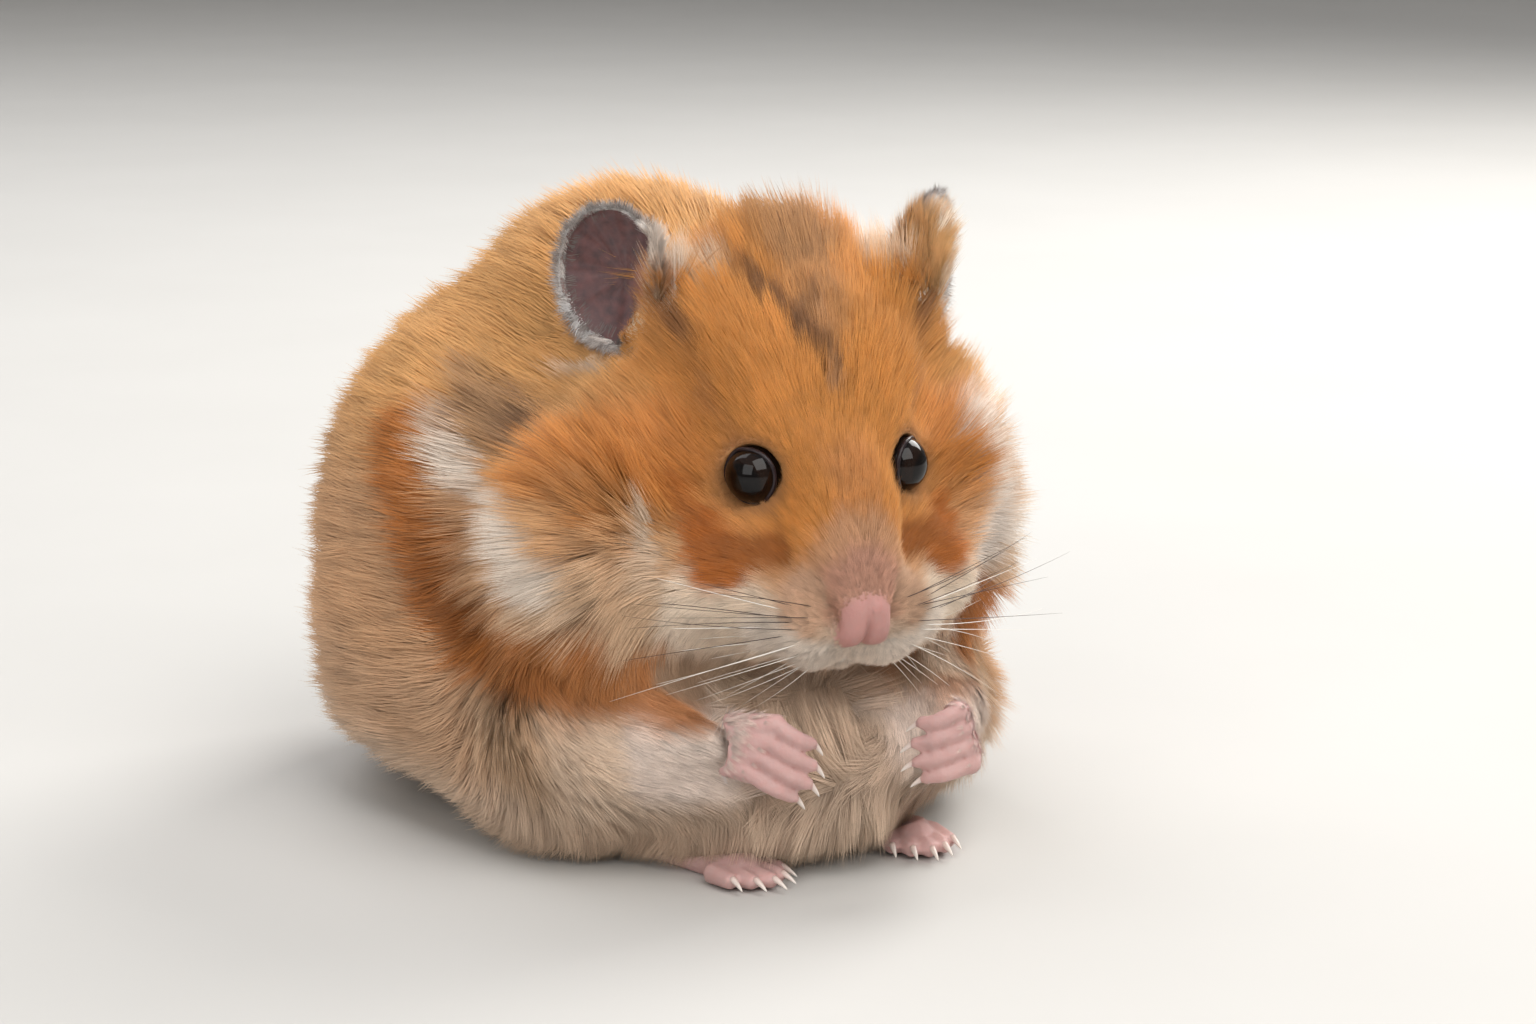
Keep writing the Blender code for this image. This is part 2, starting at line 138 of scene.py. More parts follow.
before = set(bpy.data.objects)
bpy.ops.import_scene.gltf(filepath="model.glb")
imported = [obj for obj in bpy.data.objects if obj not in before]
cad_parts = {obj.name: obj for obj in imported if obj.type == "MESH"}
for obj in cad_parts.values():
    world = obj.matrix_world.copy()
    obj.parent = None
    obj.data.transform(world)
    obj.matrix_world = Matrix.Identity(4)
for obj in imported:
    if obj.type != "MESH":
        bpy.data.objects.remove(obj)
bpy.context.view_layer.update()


# ---------------------------------------------------------------- places and masks

def middle_of(node):
    low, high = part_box(node)
    return (Vector(low) + Vector(high)) / 2


# The arms' joints: shoulder, elbow, mid-forearm and wrist.
ARMS = {
    "left": np.array(
        ((19.0, -21.9, 36.0), (17.5, -30.9, 19.0), (16.0, -41.9, 17.5), (13.0, -49.2, 17.0))
    ),
    "right": np.array(
        ((-20.0, -19.9, 36.0), (-27.0, -23.9, 19.0), (-22.0, -33.9, 18.2), (-18.0, -41.9, 18.2))
    ),
}
TAIL_ROOT = (0.0, 45.0, 9.0)

EYES_MIDDLE = (middle_of("eye_left") + middle_of("eye_right")) / 2 / MM
HEAD = (
    Matrix.Translation(EYES_MIDDLE)
    @ Matrix.Rotation(HEAD_TURN, 4, "Z")
    @ Matrix.Rotation(HEAD_NOD, 4, "X")
)
HEAD_TURNS = np.array(HEAD.to_3x3())


def to_head(points):
    """World millimetres in the head's frame."""
    return (points - np.array(EYES_MIDDLE)) @ HEAD_TURNS


def to_world(points):
    return np.asarray(points, float) @ HEAD_TURNS.T + np.array(EYES_MIDDLE)


def turned(vectors):
    """Directions of the head's frame in the world."""
    return np.asarray(vectors, float) @ HEAD_TURNS.T


def unit(vectors):
    length = np.linalg.norm(vectors, axis=-1, keepdims=True)
    return vectors / np.maximum(length, 1e-9)


def smooth(value, low, high):
    share = np.clip((value - low) / (high - low), 0.0, 1.0)
    return share * share * (3.0 - 2.0 * share)


def near(points, centre, half_sizes, inner=0.7, outer=1.2):
    """1 inside an ellipsoid, fading to 0 outside it."""
    reach = np.linalg.norm((points - np.array(centre)) / np.array(half_sizes), axis=1)
    return 1.0 - smooth(reach, inner, outer)


def beside(points):
    """Both sides of the head or body folded onto the left one."""
    folded = points.copy()
    folded[:, 0] = np.abs(folded[:, 0])
    return folded


def mixed(first, second, share):
    """First turned into second by a share at each point."""
    first, second = np.asarray(first), np.asarray(second)
    if np.ndim(share) == 1 and (first.ndim == 2 or second.shape == (3,)):
        share = share[:, None]
    return first * (1.0 - share) + second * share


def changed(values, points, rows):
    """Values turned into each row's own value round the row's place."""
    for value, *place in rows:
        values = mixed(values, value, near(points, *place))
    return values


def from_eye(folded):
    """The distance from the middle of the eye."""
    return np.linalg.norm(folded - np.array((EYE_OUT, 0, 0)), axis=1)


def moved(points, matrix):
    return points @ matrix[:3, :3].T + matrix[:3, 3]


def along_limb(points, start, end, radius, inner=0.8, outer=1.3):
    """1 round the stretch between two places, fading to 0 outside its radius."""
    start, end = np.array(start, float), np.array(end, float)
    line = end - start
    share = np.clip((points - start) @ line / (line @ line), 0.0, 1.0)
    gap = np.linalg.norm(points - start - share[:, None] * line, axis=1)
    return 1.0 - smooth(gap / radius, inner, outer), share


# ---------------------------------------------------------------- mesh tools

def read(items, name, width=1, kind=np.float32):
    """One value, or a row of them, from every item of a mesh."""
    flat = np.empty(len(items) * width, kind)
    items.foreach_get(name, flat)
    return flat.reshape(-1, width) if width > 1 else flat


def read_points(mesh):
    return read(mesh.vertices, "co", 3).astype(float) / MM


def write_points(mesh, points):
    mesh.vertices.foreach_set("co", (points * MM).astype(np.float32).ravel())
    mesh.update()


def read_normals(mesh):
    return read(mesh.vertex_normals, "vector", 3).astype(float)


def read_edges(mesh):
    return read(mesh.edges, "vertices", 2, np.int32)


def evened(values, edges, rounds):
    """Averages a value over the mesh's neighbours, round by round."""
    count = len(values)
    degree = np.bincount(edges.ravel(), minlength=count).astype(float) + 1.0
    columns = values.reshape(count, -1).astype(float)
    for _ in range(rounds):
        total = columns.copy()
        for column, sums in zip(columns.T, total.T):
            for here, there in ((0, 1), (1, 0)):
                sums += np.bincount(
                    edges[:, here], weights=column[edges[:, there]], minlength=count
                )
        columns = total / degree[:, None]
    return columns.reshape(values.shape)


def put(mesh, name, values):
    """A named value at every vertex."""
    kind, field = ("FLOAT_VECTOR", "vector") if values.ndim == 2 else ("FLOAT", "value")
    layer = mesh.attributes.new(name, kind, "POINT")
    layer.data.foreach_set(field, values.astype(np.float32).ravel())


def add_object(name, mesh):
    made = bpy.data.objects.new(name, mesh)
    bpy.context.scene.collection.objects.link(made)
    return made


def finish_in(material, made):
    made.data.materials.append(material)
    return made


def opened(*meshes):
    """Meshes opened together for editing."""
    bm = bmesh.new()
    for mesh in meshes:
        bm.from_mesh(mesh)
    return bm


def closed(bm, mesh):
    bm.to_mesh(mesh)
    bm.free()
    return mesh


def finished(bm, name):
    return closed(bm, bpy.data.meshes.new(name))


def built(name, verts, faces):
    """A smooth-shaded mesh from lists of its points and faces."""
    mesh = bpy.data.meshes.new(name)
    mesh.from_pydata(verts, [], faces, shade_flat=False)
    return mesh


def ring_quads(start, rings, around, closed=False):
    """Quads between rings of points that are numbered one after another."""
    for ring in range(rings if closed else rings - 1):
        here, there = start + ring * around, start + (ring + 1) % rings * around
        for turn in range(around):
            after = (turn + 1) % around
            yield here + turn, there + turn, there + after, here + after


def faced_out(mesh):
    """Joins points that fall together, and turns every face outwards."""
    bm = opened(mesh)
    bmesh.ops.remove_doubles(bm, verts=bm.verts, dist=2e-6)
    bmesh.ops.recalc_face_normals(bm, faces=bm.faces)
    closed(bm, mesh)


def applied(made):
    """An object's modifiers made into its mesh."""
    depsgraph = bpy.context.evaluated_depsgraph_get()
    mesh = bpy.data.meshes.new_from_object(made.evaluated_get(depsgraph))
    name = made.name
    bpy.data.objects.remove(made)
    mesh.name = name
    return mesh


def welded(nodes, grow=0.0):
    """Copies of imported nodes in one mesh, their loose triangles joined up."""
    bm = opened(*(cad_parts[name].data for name in nodes))
    bmesh.ops.remove_doubles(bm, verts=bm.verts, dist=1e-6)
    bm.normal_update()
    if grow:
        for vert in bm.verts:
            vert.co += vert.normal * (grow * MM)
    return bm


def fused(bm, name, voxel, smoothing):
    """One closed even mesh round everything in bm, softened."""
    form = add_object(name, finished(bm, name))
    remesh = form.modifiers.new("fuse", "REMESH")
    remesh.mode = "VOXEL"
    remesh.voxel_size = voxel * MM
    soften = form.modifiers.new("soften", "SMOOTH")
    soften.factor = 0.5
    soften.iterations = smoothing
    return largest_island(applied(form))


def largest_island(mesh):
    """Drops every loose part but the largest."""
    bm = opened(mesh)
    seen, best = set(), []
    for vert in bm.verts:
        if vert in seen:
            continue
        seen.add(vert)
        island, waiting = [vert], [vert]
        while waiting:
            for edge in waiting.pop().link_edges:
                for other in edge.verts:
                    if other not in seen:
                        seen.add(other)
                        island.append(other)
                        waiting.append(other)
        best = max(best, island, key=len)
    keep = set(best)
    drop = [vert for vert in bm.verts if vert not in keep]
    bmesh.ops.delete(bm, geom=drop, context="VERTS")
    return closed(bm, mesh)


# ---------------------------------------------------------------- the skin

def ear_frame(name, side):
    """The ear's own axes: Z along it, X out of its hollow side."""
    along = Vector((side * EAR_AXIS[0], EAR_AXIS[1], EAR_AXIS[2])).normalized()
    turn = EAR_FACINGS[name]
    facing = Vector((side * math.sin(turn), -math.cos(turn), 0.0))
    across = along.cross(facing).normalized()
    facing = across.cross(along).normalized()
    axes = Matrix((facing, across, along)).transposed().to_4x4()
    root = Vector((side * EAR_ROOT[0], EAR_ROOT[1], EAR_ROOT[2]))
    return HEAD @ Matrix.Translation(root) @ axes


def add_ball(bm, place, half_sizes):
    """An ellipsoid in the given frame, in millimetres."""
    matrix = Matrix.Scale(MM, 4) @ place @ Matrix.Diagonal((*half_sizes, 1.0))
    bmesh.ops.create_icosphere(bm, subdivisions=3, radius=1.0, matrix=matrix)


def add_chain(bm, start, end, start_radius, end_radius):
    """Balls set close together between two places."""
    start, end = Vector(start), Vector(end)
    steps = math.ceil((end - start).length / 0.8)
    for step in range(steps + 1):
        share = step / steps
        radius = start_radius + (end_radius - start_radius) * share
        add_ball(bm, Matrix.Translation(start.lerp(end, share)), (radius,) * 3)


def coat_depth(points):
    """How deep the coat is, from the skin out to the outline."""
    folded = beside(to_head(points))
    depth = mixed(np.full(len(points), 3.6), 3.0, 1.0 - smooth(points[:, 2], 4.0, 22.0))
    depth = changed(depth, folded, HEAD_DEPTHS)
    for shoulder, elbow, middle, wrist in ARMS.values():
        upper, _ = along_limb(points, shoulder, elbow, 12.0)
        lower, share = along_limb(points, elbow, middle, 10.0)
        last, end = along_limb(points, middle, wrist, 7.5)
        depth = mixed(depth, 3.4, upper * smooth(-points[:, 2], -34.0, -24.0))
        depth = mixed(depth, 2.4 - 0.7 * share, lower)
        depth = mixed(depth, 1.7 + 0.5 * end, last)
    depth *= 0.03 + 0.97 * smooth(from_eye(folded), EYE_RADIUS + 0.2, EYE_RADIUS + 3.2)
    return np.minimum(depth, 0.9 + 0.45 * np.maximum(points[:, 2], 0.0))


def body_skin():
    """The body's skin: the outline drawn in by the coat's depth."""
    bm = welded(BODY_NODES, OUTLINE_MARGIN)
    for name, side in SIDES:
        for middle, half_sizes in EAR_MOUNDS:
            place = Matrix.Translation((middle[0], middle[1] * side, middle[2]))
            add_ball(bm, ear_frame(name, side) @ place, half_sizes)
    mesh = fused(bm, "skin_body", BODY_VOXEL, 12)
    points, edges = read_points(mesh), read_edges(mesh)
    depth = evened(coat_depth(points), edges, 4) + OUTLINE_MARGIN
    for _ in range(DRAWING_STEPS):
        inward = evened(read_normals(mesh), edges, 3)
        points = points - inward * depth[:, None] / DRAWING_STEPS
        write_points(mesh, points)
    points = evened(points, edges, 2)
    hollow = near(beside(to_head(points)), LIP_CORNER, (6, 6, 7), 0.5, 1.3)
    write_points(mesh, mixed(points, evened(points, edges, 30), hollow))
    return mesh


def refined(mesh, half_sizes):
    """Splits the faces round the nose, for finer modelling there."""
    bm = opened(mesh)
    picked = near(to_head(read_points(mesh)), NOSE, half_sizes, 0.99, 1.01) > 0.5
    edges = [edge for edge in bm.edges if all(picked[vert.index] for vert in edge.verts)]
    bmesh.ops.subdivide_edges(bm, edges=edges, cuts=1, use_grid_fill=True, smooth=0.0)
    bmesh.ops.triangulate(bm, faces=[face for face in bm.faces if len(face.verts) > 4])
    closed(bm, mesh).update()


def bell(points, centre, widths):
    """A soft bump's share at each point."""
    reach = (points - np.array(centre)) / np.array(widths)
    return np.exp(-(reach**2).sum(axis=1))


def sculpt_face(mesh):
    """Nose pad, nostrils, the groove below them, lips and mouth."""
    refined(mesh, (9, 8, 10))
    refined(mesh, (5, 5, 6.4))
    points, edges = read_points(mesh), read_edges(mesh)
    local = near(to_head(points), NOSE, (8, 7, 9), 0.8, 1.0)
    points = mixed(points, evened(points, edges, 6), local)
    write_points(mesh, points)
    folded = beside(to_head(points))
    out, ahead, below = folded[:, 0], -folded[:, 1], -folded[:, 2]
    front = smooth(ahead, 9.0, 13.0)
    rise = np.zeros(len(points))
    for height, middle, widths in NOSE_SHAPES:
        rise += height * bell(folded, middle, widths) * front
    groove = np.exp(-((out / 0.45) ** 2)) * smooth(below, 11.5, 12.8)
    rise -= 0.60 * groove * (1 - smooth(below, 16.6, 17.6)) * front
    mouth = np.exp(-(((folded[:, 2] - np.interp(out, *MOUTH_LINE)) / 0.55) ** 2))
    rise -= 0.9 * mouth * (1 - smooth(out, 5.5, 9.0)) * smooth(ahead, 7.0, 11.0)
    write_points(mesh, points + read_normals(mesh) * rise[:, None])


# ---------------------------------------------------------------- how the hair lies

def laid(lie, up):
    """Directions laid down along the skin."""
    return unit(lie - (lie * up).sum(axis=1)[:, None] * up)


def lifted(lie, up, lift):
    """Directions along the skin raised from it by an angle."""
    return lie * np.cos(lift)[:, None] + up * np.sin(lift)[:, None]


def lie_of_hair(points, up):
    """The way the hair points at each place, along the skin, before it lifts."""
    head = to_head(points)
    folded = beside(head)
    down = np.array((0.0, 0.0, -1.0))
    to_tail = unit(np.array(TAIL_ROOT) - points)
    ahead = points * (0.3, 0.0, 0.5) + np.array((0.0, 75.0, 12.0))
    backward = unit(ahead - points)
    ruff = smooth(-points[:, 1], 2.0, 26.0) * smooth(-points[:, 2], -62.0, -44.0)
    backward = backward + 0.30 * down * ruff[:, None]
    flow = mixed(backward, to_tail, smooth(points[:, 1], 5.0, 42.0))
    from_nose = turned(unit(head - np.array((0, -21.0, -9.0))))
    in_head = near(head, (0, 8, -2), (32, 30, 28), 0.6, 1.4)
    fall = 0.35 * smooth(folded[:, 0], 8.0, 22.0) * smooth(-head[:, 2], -2.0, 8.0)
    fall += 0.55 * near(folded, LIP_CORNER, (9, 9, 8), 0.6, 1.4)
    flow = mixed(flow, from_nose + fall[:, None] * down, in_head)
    outside = 1.0 - near(head, (0, 6, -4), (28, 25, 23), 0.85, 1.15)
    slope = np.array((0.0, 0.0, -0.35))
    for shoulder, elbow, middle, wrist in ARMS.values():
        for start, end, radius, lean, strength in (
            (shoulder, elbow, 10.0, 0.2 * to_tail, 0.6),
            (elbow, middle, 9.5, slope, 1.0),
            (middle, wrist, 8.0, 0.7 * slope, 1.0),
        ):
            share, _ = along_limb(points, start, end, radius)
            flow = mixed(flow, unit(end - start) + lean, strength * share * outside)
    return laid(flow, up)


def lift_of_hair(points):
    """How far the hair stands off the skin, as an angle."""
    folded = beside(to_head(points))
    return np.radians(changed(np.full(len(points), 24.0), folded, HEAD_LIFTS))


def give_coat(mesh, up, lie, lift, length, spread, density, hair_tint):
    """The values that the coat is grown from, at every vertex of a skin."""
    put(mesh, "up", up)
    put(mesh, "lie", lifted(laid(lie, up), up, lift))
    put(mesh, "hair_length", length * MM)
    put(mesh, "hair_spread", spread * MM)
    put(mesh, "hair_density", density / MM**2)
    put(mesh, "hair_tint", hair_tint)


def coat_of_body(mesh):
    """The coat's depth, lie, thickness and markings over the head, trunk and limbs."""
    points, edges = read_points(mesh), read_edges(mesh)
    up = unit(evened(read_normals(mesh), edges, 6))
    lie = unit(evened(lie_of_hair(points, up), edges, 70))
    lift = lift_of_hair(points)
    depth = coat_depth(points)
    folded = beside(to_head(points))
    length = depth / np.sin(lift)
    for _, _, middle, wrist in ARMS.values():
        wristward, _ = along_limb(points, middle, wrist, 8.0)
        length = mixed(length, 3.8, wristward)
        lift = mixed(lift, math.radians(10.0), wristward)
    length *= 1.06 + 0.5 * near(folded, *CHEEK)
    length = np.clip(length, 0.5, 12.0)
    spread = np.interp(length, *LOCK_SPREADS)
    density = 1.5 * (0.95 / spread) ** 1.3
    density *= 1.0 - near(folded, NOSE, (4.9, 3.8, 5.2), 0.72, 1.06)
    density *= smooth(from_eye(folded), EYE_RADIUS + 0.35, EYE_RADIUS + 0.8)
    density *= 0.45 + 0.55 * smooth(points[:, 2], 1.0, 4.0)
    for name, side in SIDES:
        in_ear = 1.0 - clear_of_ear(points, name, side)
        length = mixed(length, 1.3, in_ear)
        lift = mixed(lift, math.radians(14.0), in_ear)
    # A lock shows its colour along its outer part, away from its root.
    shown = points + 0.55 * length[:, None] * lifted(laid(lie, up), up, lift)
    tint, dark = markings(shown)
    bare = near(folded, NOSE, (5.2, 4.0, 5.5), 0.70, 1.08)
    skin_tint, _ = markings(points + up * depth[:, None])
    dress(mesh, mixed(skin_tint, NOSE_PINK, bare), bare=bare, ticking=dark)
    give_coat(mesh, up, laid(lie, up), lift, length, spread, density, tint)


def clear_of_ear(points, name, side):
    """0 in front of an ear's hollow, where only short hair grows, and 1 away from it."""
    local = moved(points, np.array(ear_frame(name, side).inverted()))
    return 1.0 - near(local, (3.0, 0.0, 4.0), (7.0, 7.5, 9.0), 0.7, 1.15)


def cut_into_slices(mesh):
    """Numbers the faces from the nose to the rump so that every slice holds a like share of
    the hair, and gives the factor that brings the whole coat to its number of locks."""
    area = read(mesh.polygons, "area").astype(float)
    centre = read(mesh.polygons, "center", 3).astype(float) / MM
    corner = read(mesh.loops, "vertex_index", kind=np.int32)
    corner = corner[read(mesh.polygons, "loop_start", kind=np.int32)]
    density = read(mesh.attributes["hair_density"].data, "value") * MM**2
    hair = area / MM**2 * density[corner]
    total = hair.sum()
    order = np.argsort(np.linalg.norm(centre - to_world(NOSE), axis=1))
    share = np.cumsum(hair[order]) / total
    slices = np.empty(len(hair), np.int32)
    slices[order] = np.minimum((share * len(SLICES)).astype(int), len(SLICES) - 1)
    layer = mesh.attributes.new("slice", "INT", "FACE")
    layer.data.foreach_set("value", slices)
    return LOCKS / total


# ---------------------------------------------------------------- locks of hair

def lock_of_hair(name, strands, rings, seed, gather, droop):
    """One lock: thin tapering blades that start side by side and gather towards their tips.

    It points along +X and is 1 long, and 1 wide to each side of its middle."""
    rng = np.random.default_rng(seed)
    verts, faces, along, side, patch = [], [], [], [], []
    for strand in range(strands):
        root_y = (strand + rng.uniform(0.1, 0.9)) / strands * 2.0 - 1.0
        root_x = rng.uniform(-0.06, 0.06)
        root_z = rng.uniform(-0.1, 0.1)
        reach = rng.uniform(0.72, 1.0)
        pull = gather * rng.uniform(0.7, 1.1)
        bend = rng.normal(0.0, 0.25)
        hang = droop * rng.uniform(0.5, 1.4)
        rise = rng.uniform(-0.35, 0.45)
        roll = rng.uniform(-0.55, 0.55)
        width = rng.uniform(0.06, 0.10)
        first = len(verts)
        for ring in range(rings + 1):
            t = ring / rings
            x = root_x + reach * t
            y = root_y * (1.0 - pull * t) + bend * t * t
            z = root_z + rise * t - hang * t * t
            half = width * (0.75 + 0.6 * t - 1.35 * t * t)
            for edge in (0.0,) if ring == rings else (-1.0, 1.0):
                out = edge * half
                verts.append((x, y + out * math.cos(roll), z + out * math.sin(roll)))
                along.append(t)
                side.append(edge)
                patch.append(((strand + 0.5 + 0.4 * edge) / strands, t, 0.0))
        for a in range(first, first + 2 * (rings - 1), 2):
            faces.append((a, a + 2, a + 3, a + 1))
        a = first + 2 * (rings - 1)
        faces.append((a, a + 2, a + 1))
    mesh = built(name, verts, faces)
    for label, values in (("along", along), ("side", side), ("patch", patch)):
        put(mesh, label, np.array(values))
    return mesh


def lock_collection(name, variants, **shape):
    """A few different locks to pick from."""
    group = bpy.data.collections.new(name)
    for number in range(variants):
        mesh = lock_of_hair(f"{name}_{number}", seed=100 + number, **shape)
        group.objects.link(bpy.data.objects.new(f"{name}_{number}", mesh))
    return group


def pick(sockets, key):
    """The socket of that number, or the one of that name that is in use."""
    if isinstance(key, int):
        return sockets[key]
    return next(socket for socket in sockets if socket.name == key and socket.enabled)


def node(tree, kind, inputs=None, **settings):
    """A node with its settings, its inputs set to values or joined to other nodes."""
    made = tree.nodes.new(kind)
    for name, value in settings.items():
        setattr(made, name, value)
    for key, value in (inputs or {}).items():
        socket = pick(made.inputs, key)
        if isinstance(value, bpy.types.NodeSocket):
            tree.links.new(value, socket)
        else:
            socket.default_value = value
    return made


def calc(tree, operation, first, second=0.0, third=0.0):
    inputs = {0: first, 1: second, 2: third}
    return node(tree, "ShaderNodeMath", inputs, operation=operation).outputs[0]


def vector_calc(tree, operation, first, second, output="Vector"):
    made = node(tree, "ShaderNodeVectorMath", {0: first, 1: second}, operation=operation)
    return made.outputs[output]


def scaled(tree, vector, factor):
    inputs = {0: vector, "Scale": factor}
    return node(tree, "ShaderNodeVectorMath", inputs, operation="SCALE").outputs[0]


def new_group(name, kind, inputs, output):
    """A node group with named inputs and one output, and its inputs' sockets."""
    tree = bpy.data.node_groups.new(name, kind)
    for label, sort in inputs.items():
        tree.interface.new_socket(label, in_out="INPUT", socket_type="NodeSocket" + sort)
    tree.interface.new_socket(output[0], in_out="OUTPUT", socket_type="NodeSocket" + output[1])
    return tree, node(tree, "NodeGroupInput").outputs


# ---------------------------------------------------------------- the coat's geometry nodes

def attribute(tree, name, kind="FLOAT"):
    made = node(tree, "GeometryNodeInputNamedAttribute", {"Name": name}, data_type=kind)
    return pick(made.outputs, "Attribute")


def stored(tree, geometry, name, value, kind="FLOAT", domain="POINT"):
    inputs = {"Geometry": geometry, "Name": name, "Value": value}
    kinds = {"data_type": kind, "domain": domain}
    return node(tree, "GeometryNodeStoreNamedAttribute", inputs, **kinds).outputs["Geometry"]


def random(tree, kind, low, high, seed):
    inputs = {"Min": low, "Max": high, "Seed": seed}
    return pick(node(tree, "FunctionNodeRandomValue", inputs, data_type=kind).outputs, "Value")


def coat_tree():
    """Locks of hair spread over one slice of skin, each laid along the lie of the coat."""
    inputs = {
        "Skin": "Geometry",
        "Locks": "Collection",
        "Slice": "Int",
        "Density Factor": "Float",
        "Waywardness": "Float",
        "Clump Scale": "Float",
        "Floor Gap": "Float",
        "Patch Size": "Float",
        "Seed": "Int",
        "Material": "Material",
    }
    tree, given = new_group("Coat", "GeometryNodeTree", inputs, ("Coat", "Geometry"))
    seed = given["Seed"]
    in_slice = node(
        tree,
        "FunctionNodeCompare",
        {"A": attribute(tree, "slice", "INT"), "B": given["Slice"]},
        data_type="INT",
        operation="EQUAL",
    )
    part = node(
        tree,
        "GeometryNodeSeparateGeometry",
        {"Geometry": given["Skin"], "Selection": in_slice.outputs["Result"]},
        domain="FACE",
    )
    density = calc(tree, "MULTIPLY", attribute(tree, "hair_density"), given["Density Factor"])
    roots = node(
        tree,
        "GeometryNodeDistributePointsOnFaces",
        {"Mesh": part.outputs["Selection"], "Density": density, "Seed": seed},
        distribute_method="RANDOM",
    ).outputs["Points"]
    place = node(tree, "GeometryNodeInputPosition").outputs[0]
    unwrapped = attribute(tree, "OFBake", "FLOAT_VECTOR")
    roots = stored(tree, roots, "root", place, "FLOAT_VECTOR")
    roots = stored(tree, roots, "unwrap", unwrapped, "FLOAT_VECTOR")
    roots = stored(tree, roots, "tone", random(tree, "FLOAT", 0.0, 1.0, seed))

    # Each lock strays a little from the lie, together with its neighbours and by itself.
    inputs = {"Vector": place, "Scale": given["Clump Scale"], "Detail": 1.0}
    clump = node(tree, "ShaderNodeTexNoise", inputs).outputs["Color"]
    sway = vector_calc(tree, "SUBTRACT", clump, (0.5,) * 3)
    sway = scaled(tree, sway, given["Waywardness"])
    stray = random(tree, "FLOAT_VECTOR", (-0.13,) * 3, (0.13,) * 3, seed)
    sway = vector_calc(tree, "ADD", sway, stray)
    up = attribute(tree, "up", "FLOAT_VECTOR")
    rise = calc(tree, "MULTIPLY", vector_calc(tree, "DOT_PRODUCT", sway, up, "Value"), 0.75)
    sway = vector_calc(tree, "SUBTRACT", sway, scaled(tree, up, rise))
    heading = vector_calc(tree, "ADD", attribute(tree, "lie", "FLOAT_VECTOR"), sway)
    turn = node(
        tree,
        "FunctionNodeAxesToRotation",
        {"Primary Axis": heading, "Secondary Axis": up},
        primary_axis="X",
        secondary_axis="Z",
    )
    uneven = random(tree, "FLOAT", 0.78, 1.12, seed)
    length = calc(tree, "MULTIPLY", attribute(tree, "hair_length"), uneven)
    spread = attribute(tree, "hair_spread")
    size = node(tree, "ShaderNodeCombineXYZ", {0: length, 1: spread, 2: spread}).outputs[0]
    inputs = {"Collection": given["Locks"], "Separate Children": True, "Reset Children": True}
    locks = node(tree, "GeometryNodeCollectionInfo", inputs)
    grown = node(
        tree,
        "GeometryNodeInstanceOnPoints",
        {
            "Points": roots,
            "Instance": locks.outputs["Instances"],
            "Pick Instance": True,
            "Rotation": turn.outputs["Rotation"],
            "Scale": size,
        },
    )
    real = node(tree, "GeometryNodeRealizeInstances", {"Geometry": grown.outputs["Instances"]})

    # Hair that would dip into the floor lies on it.
    now = node(tree, "GeometryNodeInputPosition").outputs[0]
    now = node(tree, "ShaderNodeSeparateXYZ", {0: now}).outputs
    above = calc(tree, "MAXIMUM", now[2], given["Floor Gap"])
    clear = node(tree, "ShaderNodeCombineXYZ", {0: now[0], 1: now[1], 2: above}).outputs[0]
    inputs = {"Geometry": real.outputs["Geometry"], "Position": clear}
    kept = node(tree, "GeometryNodeSetPosition", inputs).outputs["Geometry"]
    patch = scaled(tree, attribute(tree, "patch", "FLOAT_VECTOR"), given["Patch Size"])
    patch = vector_calc(tree, "ADD", attribute(tree, "unwrap", "FLOAT_VECTOR"), patch)
    mapped = stored(tree, kept, "OFBake", patch, "FLOAT2", "CORNER")
    inputs = {"Geometry": mapped, "Material": given["Material"]}
    dressed = node(tree, "GeometryNodeSetMaterial", inputs)
    node(tree, "NodeGroupOutput", {"Coat": dressed.outputs["Geometry"]})
    return tree


def round_off(mesh, up_share=1.7, round_share=0.4):
    """Shading normals that make a flat blade look round and follow the form under the coat."""
    points = read_points(mesh)
    up = unit(read(mesh.attributes["up"].data, "vector", 3).astype(float))
    side = read(mesh.attributes["side"].data, "value")
    across = np.zeros((len(points), 3))
    left = np.nonzero(side < -0.5)[0]
    across[left] = points[left + 1] - points[left]
    across[left + 1] = across[left]
    facing = read_normals(mesh)
    outward = np.sign((facing * up).sum(axis=1))[:, None]
    rounded = facing + outward * (up_share * up + round_share * side[:, None] * unit(across))
    mesh.normals_split_custom_set_from_vertices(unit(rounded).astype(np.float32))


# Values that a grown coat no longer needs.
COAT_EXTRAS = (
    "slice", "hair_length", "hair_spread", "hair_density", "lie", "patch", "side", "up",
    "tint", "bare", "lid", "crease", "unwrap",
)


def grow_coat(name, skin, tree, values):
    """One piece of the coat as a plain mesh."""
    host = add_object(name, skin)
    grower = host.modifiers.new("coat", "NODES")
    grower.node_group = tree
    for socket in tree.interface.items_tree:
        if socket.in_out == "INPUT" and socket.name in values:
            grower[socket.identifier] = values[socket.name]
    mesh = applied(host)
    made = add_object(name, mesh)
    round_off(mesh)
    for layer in COAT_EXTRAS:
        if layer in mesh.attributes:
            mesh.attributes.remove(mesh.attributes[layer])
    return made


# ---------------------------------------------------------------- markings

